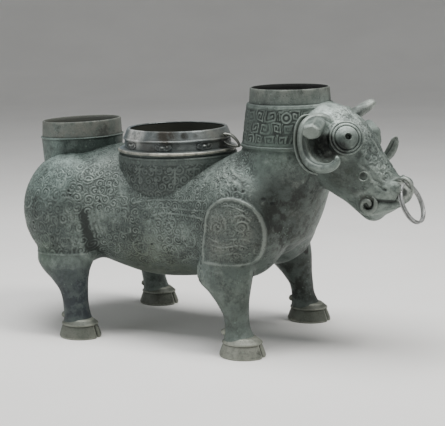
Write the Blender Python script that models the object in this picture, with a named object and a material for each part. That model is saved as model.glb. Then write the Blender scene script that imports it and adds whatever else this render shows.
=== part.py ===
"""Ox-shaped ritual wine vessel: a hollow cast ox, its lift-out wine pot and its nose ring.

Metres, +Z up, the head towards +X, the origin on the ground under the middle of the ox.
"""
import math

import bmesh
import bpy
import numpy as np
from mathutils import Vector
from mathutils.bvhtree import BVHTree

# The figure. Its free form is drawn in units of U, about a centimetre each.
OX_LENGTH = 0.587
DRAWN_LENGTH = 58.7
U = OX_LENGTH / DRAWN_LENGTH

# The casting and its fits.
WALL = 0.0035
CAVITY_MARGIN = 0.001
TOUCH_GAP = 0.0003
SEAT_CLEARANCE = 0.003
FLANGE_CLEARANCE = 0.0015
SEAT_SPARE = 0.0007

# The front mouth, on the neck.
FRONT_MOUTH_RADIUS = 0.052
FRONT_MOUTH_TOP = 0.337
FRONT_COLLAR_HEIGHT = 0.020
FRONT_LEDGE_WIDTH = 0.0045

# The rear mouth, on the rump.
REAR_MOUTH_RADIUS = 0.0555
REAR_MOUTH_TOP = 0.286
REAR_COLLAR_HEIGHT = 0.022
REAR_LEDGE_WIDTH = 0.0035
REAR_MOUTH_TILT = 0.03

# The lift-out pot and the seat that it hangs in.
POT_RIM_RADIUS = 0.067
POT_NECK_RADIUS = 0.072
POT_BOWL_RADIUS = 0.0735
POT_FLANGE_RADIUS = 0.0815
POT_FLANGE_Z = 0.2495
POT_FLANGE_THICKNESS = 0.0035
POT_RIM_HEIGHT = 0.0305
POT_RIDGE_DROP = 0.0135
POT_RIDGE_WIDTH = 0.002
POT_DEPTH = 0.115
POT_WALL = 0.0035
POT_MEDALLIONS = 8
MEDALLION_START = math.radians(15)
MEDALLION_WIDTH = 0.0255
MEDALLION_HEIGHT = 0.0115
HANDLE_ANGLE = math.radians(3)
HANDLE_REACH = 0.021
HANDLE_THICKNESS = 0.004

# The nose ring, which hangs through the wall between the nostrils.
RING_RADIUS = 0.0256
RING_BAND = 0.0052
RING_THICKNESS = 0.0034
RING_LEAN = math.radians(24)
RING_TURN = math.radians(-4)
RING_CLEARANCE = 0.0006
RING_TOP = (27.15, 21.7)

# The lips of both mouths, and the place of the bite out of the rear one.
RIM_THICKNESS = 0.0032
CHIP_ANGLE = math.radians(80)

# Places on the figure, in drawing units.
FRONT_MOUTH_X = 11.4
POT_X = -5.7
REAR_MOUTH_X = -21.4
FRONT_NECK_FOOT = 26.3
EYE = (21.2, 4.35, 27.85)
HEAD_ORIGIN = np.array((14.8, 0.0, 26.4))
HEAD_AXIS = np.array((0.839, 0.0, -0.545))
HEAD_UP = np.array((0.545, 0.0, 0.839))
HOLLOW_HEAD_END = 9.0

# Hooves and dewclaws: place along and beside the ox, then half length and half width or height.
REAR_HOOF = (-15.9, 10.4, 3.0, 2.5)
FRONT_HOOF = (9.0, 10.1, 3.1, 2.6)
REAR_DEWCLAWS = (-18.0, 10.3, 2.9)
FRONT_DEWCLAWS = (6.7, 10.0, 3.0)
DEWCLAW_SPREAD = 0.75
DEWCLAW_RADII = (0.42, 0.4, 0.5)

# Lift of the tail's middle line off the rump.
TAIL_LIFT = 0.26

# Wings of the nostrils and the hollows before them: centre on one side, and radii.
NOSTRIL_WING = ((26.4, 2.0, 21.4), (1.3, 1.0, 1.1))
NOSTRIL = ((27.4, 1.6, 21.2), (0.7, 0.8, 0.95))

# Middle lines of the horns. The far one's end stands a little further forward and up.
NEAR_HORN = (
    (18.7, 2.8, 29.2), (17.5, 4.3, 30.1), (16.3, 5.6, 29.4), (16.3, 6.6, 27.5), (17.1, 7.3, 25.6),
    (18.4, 7.9, 24.7), (19.8, 8.3, 24.5), (21.0, 8.6, 24.75), (21.8, 8.7, 25.4), (21.8, 8.7, 26.2),
)
FAR_HORN = (
    (18.7, 2.8, 29.2), (17.5, 4.3, 30.1), (16.3, 5.6, 29.4), (16.4, 6.8, 27.3), (17.2, 7.6, 25.2),
    (18.5, 8.1, 24.0), (20.0, 8.5, 23.5), (21.2, 8.7, 23.7), (22.1, 8.7, 24.8), (22.85, 8.6, 26.6),
)

# Neck, in drawing units: height, place along the ox, half length, half width.
NECK = ((13.5, 6.6, 7.0, 8.0), (17.0, 7.9, 7.3, 8.2), (20.0, 9.2, 7.0, 7.6), (23.0, 10.6, 6.7, 6.9),
        (25.6, 11.4, 6.4, 6.45), (28.0, 11.6, 5.6, 5.6))

# Legs, in drawing units: place along and beside the ox, height, half length, half width.
REAR_LEG = (
    (-18.6, 6.8, 15.5, 4.0, 3.2), (-18.8, 7.8, 13.0, 4.4, 3.3), (-18.9, 8.4, 11.4, 4.5, 3.1),
    (-18.9, 9.0, 10.0, 4.25, 2.8), (-18.5, 9.4, 8.9, 3.5, 2.6),
    (-17.6, 9.8, 7.7, 2.6, 2.2), (-16.95, 10.0, 6.4, 2.02, 1.85), (-16.7, 10.1, 5.1, 1.8, 1.7),
    (-16.5, 10.2, 3.7, 1.8, 1.7), (-16.3, 10.3, 2.7, 1.9, 1.8), (-16.05, 10.35, 1.6, 2.35, 2.1),
)
FRONT_LEG = (
    (6.0, 6.6, 15.6, 3.4, 3.0), (6.0, 7.6, 13.2, 3.9, 3.2), (6.0, 8.4, 11.2, 4.0, 2.95),
    (6.05, 9.0, 9.8, 3.85, 2.65), (6.3, 9.2, 9.0, 3.55, 2.5),
    (6.95, 9.4, 8.0, 2.8, 2.25), (7.5, 9.6, 6.7, 2.15, 1.95), (8.05, 9.8, 5.2, 1.67, 1.7),
    (8.2, 9.9, 4.0, 1.6, 1.65), (8.4, 10.0, 2.9, 1.8, 1.8), (8.8, 10.05, 1.6, 2.4, 2.2),
)

# Depth that raised lines are sunk into the skin that they lie on.
RIDGE_SINK = 0.0008

# Fineness of the facets.
TRUNK_RINGS = 36
HORN_RINGS = 12
HORN_RIDGE_RINGS = 8
TAIL_RINGS = 6
SEPTUM_RINGS = 9
SHOULDER_POINTS = 27
HANDLE_POINTS = 11
RING_SEGMENTS = 24
RING_BORE_SEGMENTS = 18
SKIN_VOXEL = 0.25
SKIN_TRIANGLES = 9000
FIGURE_TRIANGLES = 4500
CAVITY_VOXEL = 0.5
CAVITY_TRIANGLES = 420
TURNED_SIDES = 28

SIDES = (-1, 1)


def clear_scene():
    """Remove every object of the open file."""
    for obj in list(bpy.data.objects):
        bpy.data.objects.remove(obj, do_unlink=True)


def material(name, colour, roughness, metallic):
    """A Principled material from three plain values."""
    result = bpy.data.materials.new(name)
    result.use_nodes = True
    shader = result.node_tree.nodes["Principled BSDF"]
    shader.inputs["Base Color"].default_value = (*colour, 1.0)
    shader.inputs["Roughness"].default_value = roughness
    shader.inputs["Metallic"].default_value = metallic
    return result


def solid(name, verts, faces):
    """An object from points and faces, with its faces turned outwards."""
    mesh = bpy.data.meshes.new(name)
    mesh.from_pydata([tuple(v) for v in verts], [], faces)
    work = bmesh.new()
    work.from_mesh(mesh)
    bmesh.ops.recalc_face_normals(work, faces=work.faces)
    work.to_mesh(mesh)
    work.free()
    obj = bpy.data.objects.new(name, mesh)
    bpy.context.scene.collection.objects.link(obj)
    return obj


def remove(objects):
    """Delete helper objects that have done their work."""
    for obj in objects:
        bpy.data.objects.remove(obj, do_unlink=True)


def freeze(obj):
    """Replace an object's mesh with the result of its modifiers."""
    graph = bpy.context.evaluated_depsgraph_get()
    mesh = bpy.data.meshes.new_from_object(obj.evaluated_get(graph))
    obj.modifiers.clear()
    obj.data = mesh


def combine(target, tools, operation, solver="EXACT"):
    """Union or difference of a solid with several others in turn, which are used up."""
    for tool in tools:
        boolean = target.modifiers.new(operation.title(), "BOOLEAN")
        boolean.operation = operation
        boolean.object = tool
        boolean.solver = solver
        freeze(target)
    remove(tools)


def ring(centre, first, second, half_first, half_second, sides=24, power=2.0, swell=0.0):
    """Superellipse of points round a centre; swell widens it on the second axis' high side."""
    turn = np.arange(sides) / sides * 2 * math.pi
    cosine, sine = np.cos(turn), np.sin(turn)
    along = np.sign(cosine) * np.abs(cosine) ** (2 / power) * half_first * (1 + swell * sine)
    across = np.sign(sine) * np.abs(sine) ** (2 / power) * half_second
    return np.array(centre) + np.outer(along, first) + np.outer(across, second)


def loft(name, rings, closed=False):
    """Closed solid through rings of equal point counts, with flat ends or joined into a hoop."""
    count = len(rings[0])
    levels = len(rings)
    faces = []
    for level in range(levels if closed else levels - 1):
        start = level * count
        following = (level + 1) % levels * count
        for side in range(count):
            turn = (side + 1) % count
            faces.append((start + side, start + turn, following + turn, following + side))
    if not closed:
        faces.append(tuple(range(count)))
        faces.append(tuple(range((levels - 1) * count, levels * count)))
    return solid(name, np.concatenate(rings), faces)


def blob(name, centre, radii, fineness=4):
    """Ellipsoid mass, in drawing units."""
    mesh = bpy.data.meshes.new(name)
    work = bmesh.new()
    bmesh.ops.create_icosphere(work, subdivisions=fineness, radius=1.0)
    bmesh.ops.scale(work, vec=Vector(radii) * U, verts=work.verts)
    bmesh.ops.translate(work, vec=Vector(centre) * U, verts=work.verts)
    work.to_mesh(mesh)
    work.free()
    obj = bpy.data.objects.new(name, mesh)
    bpy.context.scene.collection.objects.link(obj)
    return obj


def turned(name, profile, centre, sides=TURNED_SIDES, tilt=0.0):
    """Solid of revolution about a vertical line; tilt raises its +X side."""
    rings = []
    for radius, height in profile:
        points = ring((centre[0], centre[1], height), (1, 0, 0), (0, 1, 0), radius, radius, sides)
        points[:, 2] += tilt * (points[:, 0] - centre[0])
        rings.append(points)
    return loft(name, rings)


def smooth_path(points, count):
    """Even points on a Catmull-Rom curve through a few chosen ones."""
    points = np.array(points, dtype=float)
    ends = np.vstack([2 * points[0] - points[1], points, 2 * points[-1] - points[-2]])
    samples = []
    for at in np.linspace(0, len(points) - 1, count):
        index = min(int(at), len(points) - 2)
        t = at - index
        a, b, c, d = ends[index:index + 4]
        samples.append(0.5 * (2 * b + (c - a) * t + (2 * a - 5 * b + 4 * c - d) * t ** 2
                              + (3 * b - a - 3 * c + d) * t ** 3))
    return np.array(samples)


def swept(name, path, halves, upright, sides=8, power=2.0, closed=False):
    """Tube along a path; halves gives its half width and half height at each point."""
    path = np.array(path)
    if closed:
        tangents = np.roll(path, -1, axis=0) - np.roll(path, 1, axis=0)
    else:
        tangents = np.gradient(path, axis=0)
    tangents /= np.linalg.norm(tangents, axis=1)[:, None]
    rings = []
    for point, tangent, (wide, high), up in zip(path, tangents, halves, upright):
        side = np.cross(tangent, up)
        side /= np.linalg.norm(side)
        lift = np.cross(side, tangent)
        rings.append(ring(point, side, lift, wide, high, sides, power))
    return loft(name, rings, closed)


def trunk():
    """Barrel of the body: height range and half width along the ox."""
    stations = (
        (-28.6, 15.0, 18.6, 2.2), (-28.2, 13.4, 20.5, 4.4), (-27.0, 12.0, 22.4, 6.6),
        (-24.5, 11.0, 24.0, 8.4), (-21.0, 10.2, 24.7, 9.2), (-17.0, 9.4, 25.4, 9.3),
        (-13.0, 8.2, 24.9, 9.1), (-9.0, 7.4, 24.4, 9.0), (-5.0, 7.4, 24.0, 8.8),
        (-1.0, 7.9, 23.8, 8.6), (3.0, 9.0, 24.3, 9.5), (7.0, 10.5, 25.0, 9.6),
        (11.0, 12.3, 25.4, 8.0), (13.6, 14.6, 24.6, 5.6), (15.0, 17.0, 23.4, 3.4),
    )
    rings = []
    for x, low, high, half in smooth_path(stations, TRUNK_RINGS):
        middle = (low + high) / 2
        centre = (x * U, 0, middle * U)
        rings.append(ring(centre, (0, 1, 0), (0, 0, 1), half * U, (high - low) / 2 * U, 40, 2.05))
    return loft("trunk", rings)


def masses():
    """Muscle masses of the chest, the neck, the haunches and the shoulders."""
    drawn = [((6.5, 0.0, 18.0), (8.0, 8.4, 7.4))]
    for side in SIDES:
        drawn.append(((-19.6, side * 5.5, 16.6), (7.4, 6.0, 7.9)))
        drawn.append(((-18.9, side * 7.7, 13.2), (5.2, 3.9, 4.6)))
        drawn.append(((6.6, side * 4.6, 16.6), (6.2, 6.0, 7.7)))
        drawn.append(((6.2, side * 7.3, 13.4), (4.4, 3.9, 4.6)))
    return [blob("mass", centre, radii) for centre, radii in drawn]


def throat():
    """Neck that rises from the chest to the foot of the front mouth's cone."""
    rings = []
    for height, x, long, wide in smooth_path(NECK, 10):
        centre = (x * U, 0, height * U)
        rings.append(ring(centre, (1, 0, 0), (0, 1, 0), long * U, wide * U, 32))
    return loft("throat", rings)


def head_point(along, up, across=0.0):
    """Point of the head, in drawing units from the poll: down the face, up and sideways."""
    return HEAD_ORIGIN + HEAD_AXIS * along + HEAD_UP * up + np.array((0.0, across, 0.0))


def head(inset=0.0):
    """Head from the neck to the nose, in sections square to the line of the face."""
    stations = (
        (-3.0, 0.9, 4.2, 4.4, 0.0), (-1.0, 1.0, 4.8, 4.9, 0.05), (1.0, 1.15, 5.15, 5.0, 0.1),
        (3.5, 1.15, 5.0, 4.8, 0.18), (5.5, 0.9, 4.65, 4.4, 0.18), (8.0, 0.4, 3.9, 3.8, 0.1),
        (10.0, 0.0, 3.65, 3.4, 0.0), (11.5, -0.35, 3.45, 3.1, -0.05), (12.5, 0.1, 2.95, 2.8, 0.0),
        (13.5, 0.85, 2.05, 2.1, 0.0), (14.1, 1.5, 1.35, 1.4, 0.0), (14.45, 1.85, 0.75, 0.7, 0.0),
    )
    rings = []
    for along, up, deep, wide, swell in stations:
        if inset and along > HOLLOW_HEAD_END:
            break
        centre = head_point(along, up) * U
        rings.append(ring(centre, (0, 1, 0), HEAD_UP, wide * U - inset, deep * U - inset, 28, 2.2, swell))
    return loft("head", rings)


def leg(stations, side):
    """Leg above the hoof, in level sections."""
    rings = []
    for x, y, z, long, wide in stations:
        rings.append(ring((x * U, side * y * U, z * U), (1, 0, 0), (0, 1, 0), long * U, wide * U, 24))
    return loft("leg", rings)


def hoof(place, side):
    """Flared cloven hoof with a ledge at its top and a flat sole."""
    x, y, long, wide = place
    sides = 14
    turn = np.arange(sides) / sides * 2 * math.pi
    rings = []
    for height, spread, cleft in ((2.6, 0.60, 0.0), (1.95, 0.85, 0.03), (1.65, 0.84, 0.10),
                                  (0.35, 1.0, 0.14), (0.0, 0.97, 0.14)):
        points = ring((0, 0, height * U), (1, 0, 0), (0, 1, 0), long * spread * U, wide * spread * U, sides)
        notch = 1 - cleft * np.exp(-(np.sin(turn / 2) / 0.10) ** 2)
        points[:, :2] *= notch[:, None]
        points += np.array((x * U, side * y * U, 0))
        rings.append(points)
    return loft("hoof", rings)


def join(target, others):
    """Put the meshes of several objects into one, without any boolean."""
    work = bmesh.new()
    work.from_mesh(target.data)
    for other in others:
        work.from_mesh(other.data)
    work.to_mesh(target.data)
    work.free()
    remove(others)


def melt(obj, voxel, passes):
    """Melt overlapping masses into one skin and smooth it."""
    skin = obj.modifiers.new("Skin", "REMESH")
    skin.mode = "VOXEL"
    skin.voxel_size = voxel
    soften = obj.modifiers.new("Soften", "SMOOTH")
    soften.factor = 0.5
    soften.iterations = passes
    freeze(obj)


def thin(obj, triangles):
    """Thin a fine mesh to a triangle count."""
    count = sum(len(face.vertices) - 2 for face in obj.data.polygons)
    fewer = obj.modifiers.new("Thin", "DECIMATE")
    fewer.ratio = min(1.0, triangles / count)
    freeze(obj)


def barrel():
    """Trunk, neck and muscles melted together, without the head and the legs."""
    body = trunk()
    join(body, [throat()] + masses())
    melt(body, SKIN_VOXEL * U, 50)
    return body


def ox_skin():
    """The figure's soft form: the barrel with the head and the legs melted on."""
    body = barrel()
    pieces = [head()]
    for side in SIDES:
        pieces += [leg(REAR_LEG, side), leg(FRONT_LEG, side)]
        pieces.append(blob("brow", head_point(4.7, 2.9, side * 2.9), (2.3, 1.9, 2.3)))
        (x, y, z), radii = NOSTRIL_WING
        pieces.append(blob("nostril wing", (x, side * y, z), radii))
    pieces.append(blob("lower lip", head_point(11.4, -2.3), (1.5, 2.4, 1.5)))
    join(body, pieces)
    melt(body, SKIN_VOXEL * U, 14)
    thin(body, SKIN_TRIANGLES)
    return body


def cavity():
    """The inside of the casting: the barrel and the back of the head, a wall thinner all round."""
    inside = barrel()
    inset = inside.modifiers.new("Inset", "DISPLACE")
    inset.strength = -WALL - CAVITY_MARGIN
    inset.mid_level = 0
    freeze(inside)
    join(inside, [head(WALL + CAVITY_MARGIN)])
    melt(inside, CAVITY_VOXEL * U, 4)
    thin(inside, CAVITY_TRIANGLES)
    return inside


def front_neck():
    """Front neck: a smooth collar, a ledge and a cone that spreads to the shoulders."""
    collar_foot = FRONT_MOUTH_TOP - FRONT_COLLAR_HEIGHT
    ledge = FRONT_MOUTH_RADIUS + FRONT_LEDGE_WIDTH
    foot = FRONT_NECK_FOOT * U
    return turned("front neck", (
        (ledge - 0.006, foot - 0.03), (ledge + 0.004, foot - 0.006), (ledge + 0.0085, foot - 0.0012),
        (ledge + 0.0085, foot + 0.0012), (ledge + 0.0066, foot + 0.0025),
        (ledge, collar_foot - 0.001), (ledge - 0.0008, collar_foot),
        (FRONT_MOUTH_RADIUS + 0.0012, collar_foot + 0.0004), (FRONT_MOUTH_RADIUS, FRONT_MOUTH_TOP),
    ), (FRONT_MOUTH_X * U, 0))


def front_bore():
    """Inside of the front neck, open at the top."""
    inner = FRONT_MOUTH_RADIUS - RIM_THICKNESS
    foot = FRONT_NECK_FOOT * U
    return turned("front bore", (
        (FRONT_MOUTH_RADIUS + 0.003, foot - 0.03), (FRONT_MOUTH_RADIUS + 0.003, foot),
        (inner, FRONT_MOUTH_TOP - FRONT_COLLAR_HEIGHT), (inner, FRONT_MOUTH_TOP + 0.01),
    ), (FRONT_MOUTH_X * U, 0))


def rear_neck():
    """Rear neck: a smooth collar and a ledge over a short drum on the rump."""
    collar_foot = REAR_MOUTH_TOP - REAR_COLLAR_HEIGHT
    ledge = REAR_MOUTH_RADIUS + REAR_LEDGE_WIDTH
    return turned("rear neck", (
        (REAR_MOUTH_RADIUS - 0.005, collar_foot - 0.05), (ledge - 0.004, collar_foot - 0.032),
        (ledge - 0.001, collar_foot - 0.0025), (ledge, collar_foot - 0.001), (ledge - 0.0006, collar_foot),
        (REAR_MOUTH_RADIUS + 0.001, collar_foot + 0.0004), (REAR_MOUTH_RADIUS, REAR_MOUTH_TOP),
    ), (REAR_MOUTH_X * U, 0), tilt=REAR_MOUTH_TILT)


def rear_bore():
    """Inside of the rear neck, open at the top."""
    inner = REAR_MOUTH_RADIUS - RIM_THICKNESS
    return turned("rear bore", (
        (inner - 0.002, REAR_MOUTH_TOP - 0.07), (inner, REAR_MOUTH_TOP - REAR_COLLAR_HEIGHT),
        (inner, REAR_MOUTH_TOP + 0.01),
    ), (REAR_MOUTH_X * U, 0), tilt=REAR_MOUTH_TILT)


def seat_radius():
    """Inner radius of the seat: the pot's bowl and its clearance."""
    return POT_BOWL_RADIUS + SEAT_CLEARANCE


def seat():
    """Bowl-shaped swelling of the back that carries the pot's flange."""
    top = POT_FLANGE_Z + SEAT_SPARE
    outer = seat_radius() + WALL
    return turned("seat", (
        (outer - 0.022, top - 0.08), (outer - 0.006, top - 0.062), (outer + 0.001, top - 0.045),
        (outer + 0.0015, top - 0.02), (outer + 0.001, top - 0.0075), (outer - 0.001, top - 0.0065),
        (outer, top - 0.005), (outer, top),
    ), (POT_X * U, 0))


def seat_bore():
    """Hole in the back that the pot's bowl hangs in, and the level place of its flange."""
    inner = seat_radius()
    return turned("seat bore", (
        (inner - 0.012, POT_FLANGE_Z - 0.07), (inner, POT_FLANGE_Z - 0.045),
        (inner, POT_FLANGE_Z - TOUCH_GAP), (POT_FLANGE_RADIUS + FLANGE_CLEARANCE, POT_FLANGE_Z - TOUCH_GAP),
        (POT_FLANGE_RADIUS + FLANGE_CLEARANCE, POT_FLANGE_Z + 0.02),
    ), (POT_X * U, 0))


def horn(side):
    """Horn that curls back and down round the ear and forward to a raised point."""
    share = np.linspace(0, 1, HORN_RINGS)
    path = smooth_path(FAR_HORN if side > 0 else NEAR_HORN, HORN_RINGS) * U * np.array((1, side, 1))
    wide = np.interp(share, (0.0, 0.5, 0.7, 0.8, 0.9, 1.0), (0.88, 0.76, 0.66, 0.6, 0.5, 0.25)) * U
    high = np.interp(share, (0.0, 0.5, 0.7, 0.8, 0.9, 1.0), (0.9, 0.8, 0.72, 0.6, 0.45, 0.22)) * U
    return swept("horn", path, list(zip(wide, high)), [(0.15, side, 0.25)] * HORN_RINGS, 8)


def ear(side):
    """Ear inside the horn's curl: a blunt bud on the near side, a slim raised leaf on the far one."""
    if side < 0:
        tip = (18.3, 8.7, 28.9)
        halves = ((0.9, 0.7), (1.1, 0.9), (1.25, 1.05), (1.33, 1.12), (1.28, 1.08), (0.95, 0.8))
    else:
        tip = (19.8, 8.3, 31.15)
        halves = ((0.9, 0.78), (0.9, 0.74), (0.85, 0.66), (0.78, 0.58), (0.62, 0.5), (0.3, 0.3))
    points = [(17.2, 4.0, 29.4), (17.6, 5.6, 29.45), tip]
    halves = np.array(halves) * U
    path = smooth_path(points, len(halves)) * U * np.array((1, side, 1))
    return swept("ear", path, halves, [(0.0, 0.1, 1.0)] * len(halves), 8)


def disc(name, centre, normal, profile, sides, stretch=1.0):
    """Turned boss on a slanting axis; profile gives radius and height, stretch widens it level."""
    normal = np.array(normal) / np.linalg.norm(normal)
    first = np.cross((0, 0, 1), normal)
    first /= np.linalg.norm(first)
    second = np.cross(normal, first)
    rings = []
    for radius, height in profile:
        middle = np.array(centre) + normal * height
        rings.append(ring(middle, first, second, radius * stretch, radius, sides))
    return loft(name, rings)


def eye(side):
    """Eye in stepped rings with a drilled pupil."""
    profile = np.array((
        (2.15, -1.8), (2.15, 0.05), (1.95, 0.2), (1.8, 0.0), (1.55, 0.35),
        (1.1, 0.75), (0.5, 0.95), (0.36, 0.2),
    )) * U
    centre = np.array(EYE) * U * np.array((1, side, 1))
    return disc("eye", centre, (0.5, side * 0.85, 0.1), profile, 14)


def tail(tree):
    """Short tail that hangs against the rump."""
    path = []
    for height in np.linspace(22.3, 12.4, TAIL_RINGS):
        place, _, _, _ = tree.ray_cast(Vector((-OX_LENGTH, 0, height * U)), Vector((1, 0, 0)))
        path.append(place - Vector((TAIL_LIFT * U, 0, 0)))
    share = np.linspace(0, 1, TAIL_RINGS)
    wide = (0.5 + 0.5 * share ** 2 - 0.6 * share ** 8) * U
    high = (0.5 - 0.25 * share ** 8) * U
    return swept("tail", path, list(zip(wide, high)), [(-1, 0, 0.1)] * TAIL_RINGS, 6)


def surface(tree, x, z, side):
    """Place and outward normal of the skin, met level from one side at x and z."""
    start = Vector((x * U, side * 0.5 * OX_LENGTH, z * U))
    place, normal, _, _ = tree.ray_cast(start, Vector((0, -side, 0)))
    return place, normal


def ridge(tree, name, outline, side, half_width, rise, closed=False):
    """Raised line laid on the skin along an outline drawn from the side."""
    path, normals = [], []
    for x, z in outline:
        place, normal = surface(tree, x, z, side)
        if place is None:
            continue
        path.append(place - normal * RIDGE_SINK)
        normals.append(normal)
    halves = [(half_width * U, rise * U)] * len(path)
    return swept(name, path, halves, normals, 4, closed=closed)


def shoulder_outline():
    """Horseshoe round the shoulder panel, drawn from the side."""
    points = [(3.9, 12.0), (3.9, 15.5), (4.4, 18.4), (6.2, 19.9), (8.2, 20.1), (10.2, 19.1),
              (11.3, 17.2), (11.4, 15.2), (10.9, 13.2), (9.8, 12.0), (7.0, 11.9), (3.9, 12.0)]
    return smooth_path(points, SHOULDER_POINTS)[:-1]


def coil(x, z, size, turns, start, spin):
    """Spiral drawn from the side: it winds in from its rim to its middle."""
    share = np.linspace(0, 1, int(8 * turns) + 1)
    angle = math.radians(start) + spin * share * turns * 2 * math.pi
    radius = size * (1 - 0.6 * share)
    return np.stack([x + radius * np.cos(angle), z + radius * np.sin(angle)], axis=1)


def carving():
    """Outlines of the main raised lines of one flank, drawn from the side."""
    lines = [coil(6.4, 16.4, 1.5, 1.15, 90, 1), coil(9.4, 16.2, 1.3, 1.15, 90, -1)]
    lines += [coil(-20.8, 17.4, 2.6, 1.3, -60, 1), coil(-10.6, 16.0, 1.8, 1.2, 200, -1)]
    lines.append(coil(-3.6, 14.9, 1.8, 1.2, 200, 1))
    lines.append(smooth_path(((-22.8, 11.05), (-19.5, 11.3), (-15.6, 11.5)), 7))
    return lines


def mouth_corner(tree, side):
    """Coil at the corner of the mouth: a ring round a knob."""
    place, _ = surface(tree, 23.45, 19.45, side)
    profile = np.array(((1.1, -0.6), (1.1, 0.15), (0.85, 0.25), (0.6, -0.1), (0.3, 0.2))) * U
    return disc("mouth corner", place, (0.1, side, -0.05), profile, 10)


def eyelet(tree, side):
    """Small ring on the cheek."""
    place, normal = surface(tree, 23.1, 23.05, side)
    profile = np.array(((0.62, -0.5), (0.62, 0.15), (0.45, 0.2), (0.3, 0.0))) * U
    return disc("eyelet", place, normal, profile, 8)


def horn_ridge(side):
    """Thin ridge that follows the outer edge of the horn."""
    points = [(16.9, 4.5, 30.7), (15.6, 5.1, 30.3), (15.2, 5.9, 28.4), (15.3, 6.4, 26.6), (16.0, 6.8, 25.1),
              (17.0, 7.2, 24.2), (18.4, 7.5, 23.7)]
    count = HORN_RIDGE_RINGS
    path = smooth_path(points, count) * U * np.array((1, side, 1))
    taper = (0.32 - 0.16 * np.linspace(-1, 1, count) ** 4) * U
    return swept("horn ridge", path, list(zip(taper, taper * 1.6)), [(0.15, side, 0.25)] * count, 4)


def chip():
    """Cutter for the bite missing from the far rim of the rear mouth."""
    x = REAR_MOUTH_X + REAR_MOUTH_RADIUS / U * math.cos(CHIP_ANGLE)
    y = REAR_MOUTH_RADIUS / U * math.sin(CHIP_ANGLE)
    return blob("chip", (x, y, REAR_MOUTH_TOP / U), (0.55, 0.55, 0.5), 1)


def mouth_groove(tree):
    """Cutter for the line of the lips, from one corner round the nose to the other."""
    start = Vector(head_point(11.0, -0.4) * U)
    path, normals = [], []
    for angle in np.radians(np.linspace(-68, 68, 9)):
        away = Vector((math.cos(angle), math.sin(angle), -0.12))
        place, normal, _, _ = tree.ray_cast(start, away)
        path.append(place)
        normals.append(normal)
    halves = [(0.14 * U, 0.2 * U)] * len(path)
    return swept("mouth groove", path, halves, normals, 4)


def nostril(side):
    """Cutter for one nostril."""
    (x, y, z), radii = NOSTRIL
    return blob("nostril", (x, side * y, z), radii, 2)


def septum_rim():
    """Rolled rim of the wall between the nostrils, round the tip of the nose."""
    points = (
        (26.0, 0, 22.2), (27.2, 0, 22.4), (27.9, 0, 21.95), (28.2, 0, 21.1), (28.0, 0, 20.3),
        (27.4, 0, 19.5),
    )
    path = smooth_path(points, SEPTUM_RINGS) * U
    upright = [(0, 1, 0)] * SEPTUM_RINGS
    return swept("septum rim", path, [(0.22 * U, 0.26 * U)] * SEPTUM_RINGS, upright, 6)


def ring_path(count):
    """Points round the nose ring, the directions away from its centre, and its axis."""
    turn = np.array((math.cos(RING_TURN), math.sin(RING_TURN), 0))
    across = np.array((-math.sin(RING_TURN), math.cos(RING_TURN), 0))
    up = -math.sin(RING_LEAN) * turn + np.array((0, 0, math.cos(RING_LEAN)))
    centre = np.array((RING_TOP[0] * U, 0, RING_TOP[1] * U)) - up * RING_RADIUS
    angle = np.arange(count) / count * 2 * math.pi
    away = np.outer(np.cos(angle), up) + np.outer(np.sin(angle), across)
    return centre + away * RING_RADIUS, away, np.cross(across, up)


def nose_ring():
    """Flat hoop with a ridge along each edge."""
    path, away, axis = ring_path(RING_SEGMENTS)
    half, thick = RING_BAND / 2, RING_THICKNESS / 2
    section = ((-half, -thick), (half, -thick), (half, thick), (half * 0.45, thick),
               (0, thick * 0.4), (-half * 0.45, thick), (-half, thick))
    rings = []
    for point, out in zip(path, away):
        rings.append(np.array([point + axis * across + out * high for across, high in section]))
    return loft("nose_ring", rings, closed=True)


def ring_bore():
    """Cutter for the ring's hole through the nose."""
    path, away, _ = ring_path(RING_BORE_SEGMENTS)
    half = (RING_BAND / 2 + RING_CLEARANCE) * 1.2
    thick = (RING_THICKNESS / 2 + RING_CLEARANCE) * 1.2
    halves = [(half, thick)] * RING_BORE_SEGMENTS
    return swept("ring bore", path, halves, away, 8, power=3.0, closed=True)


def dewclaws(place, side):
    """Pair of small claws behind a pastern."""
    x, y, z = place
    return [blob("dewclaw", (x, side * y + lean * DEWCLAW_SPREAD, z), DEWCLAW_RADII, 1) for lean in SIDES]


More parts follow.
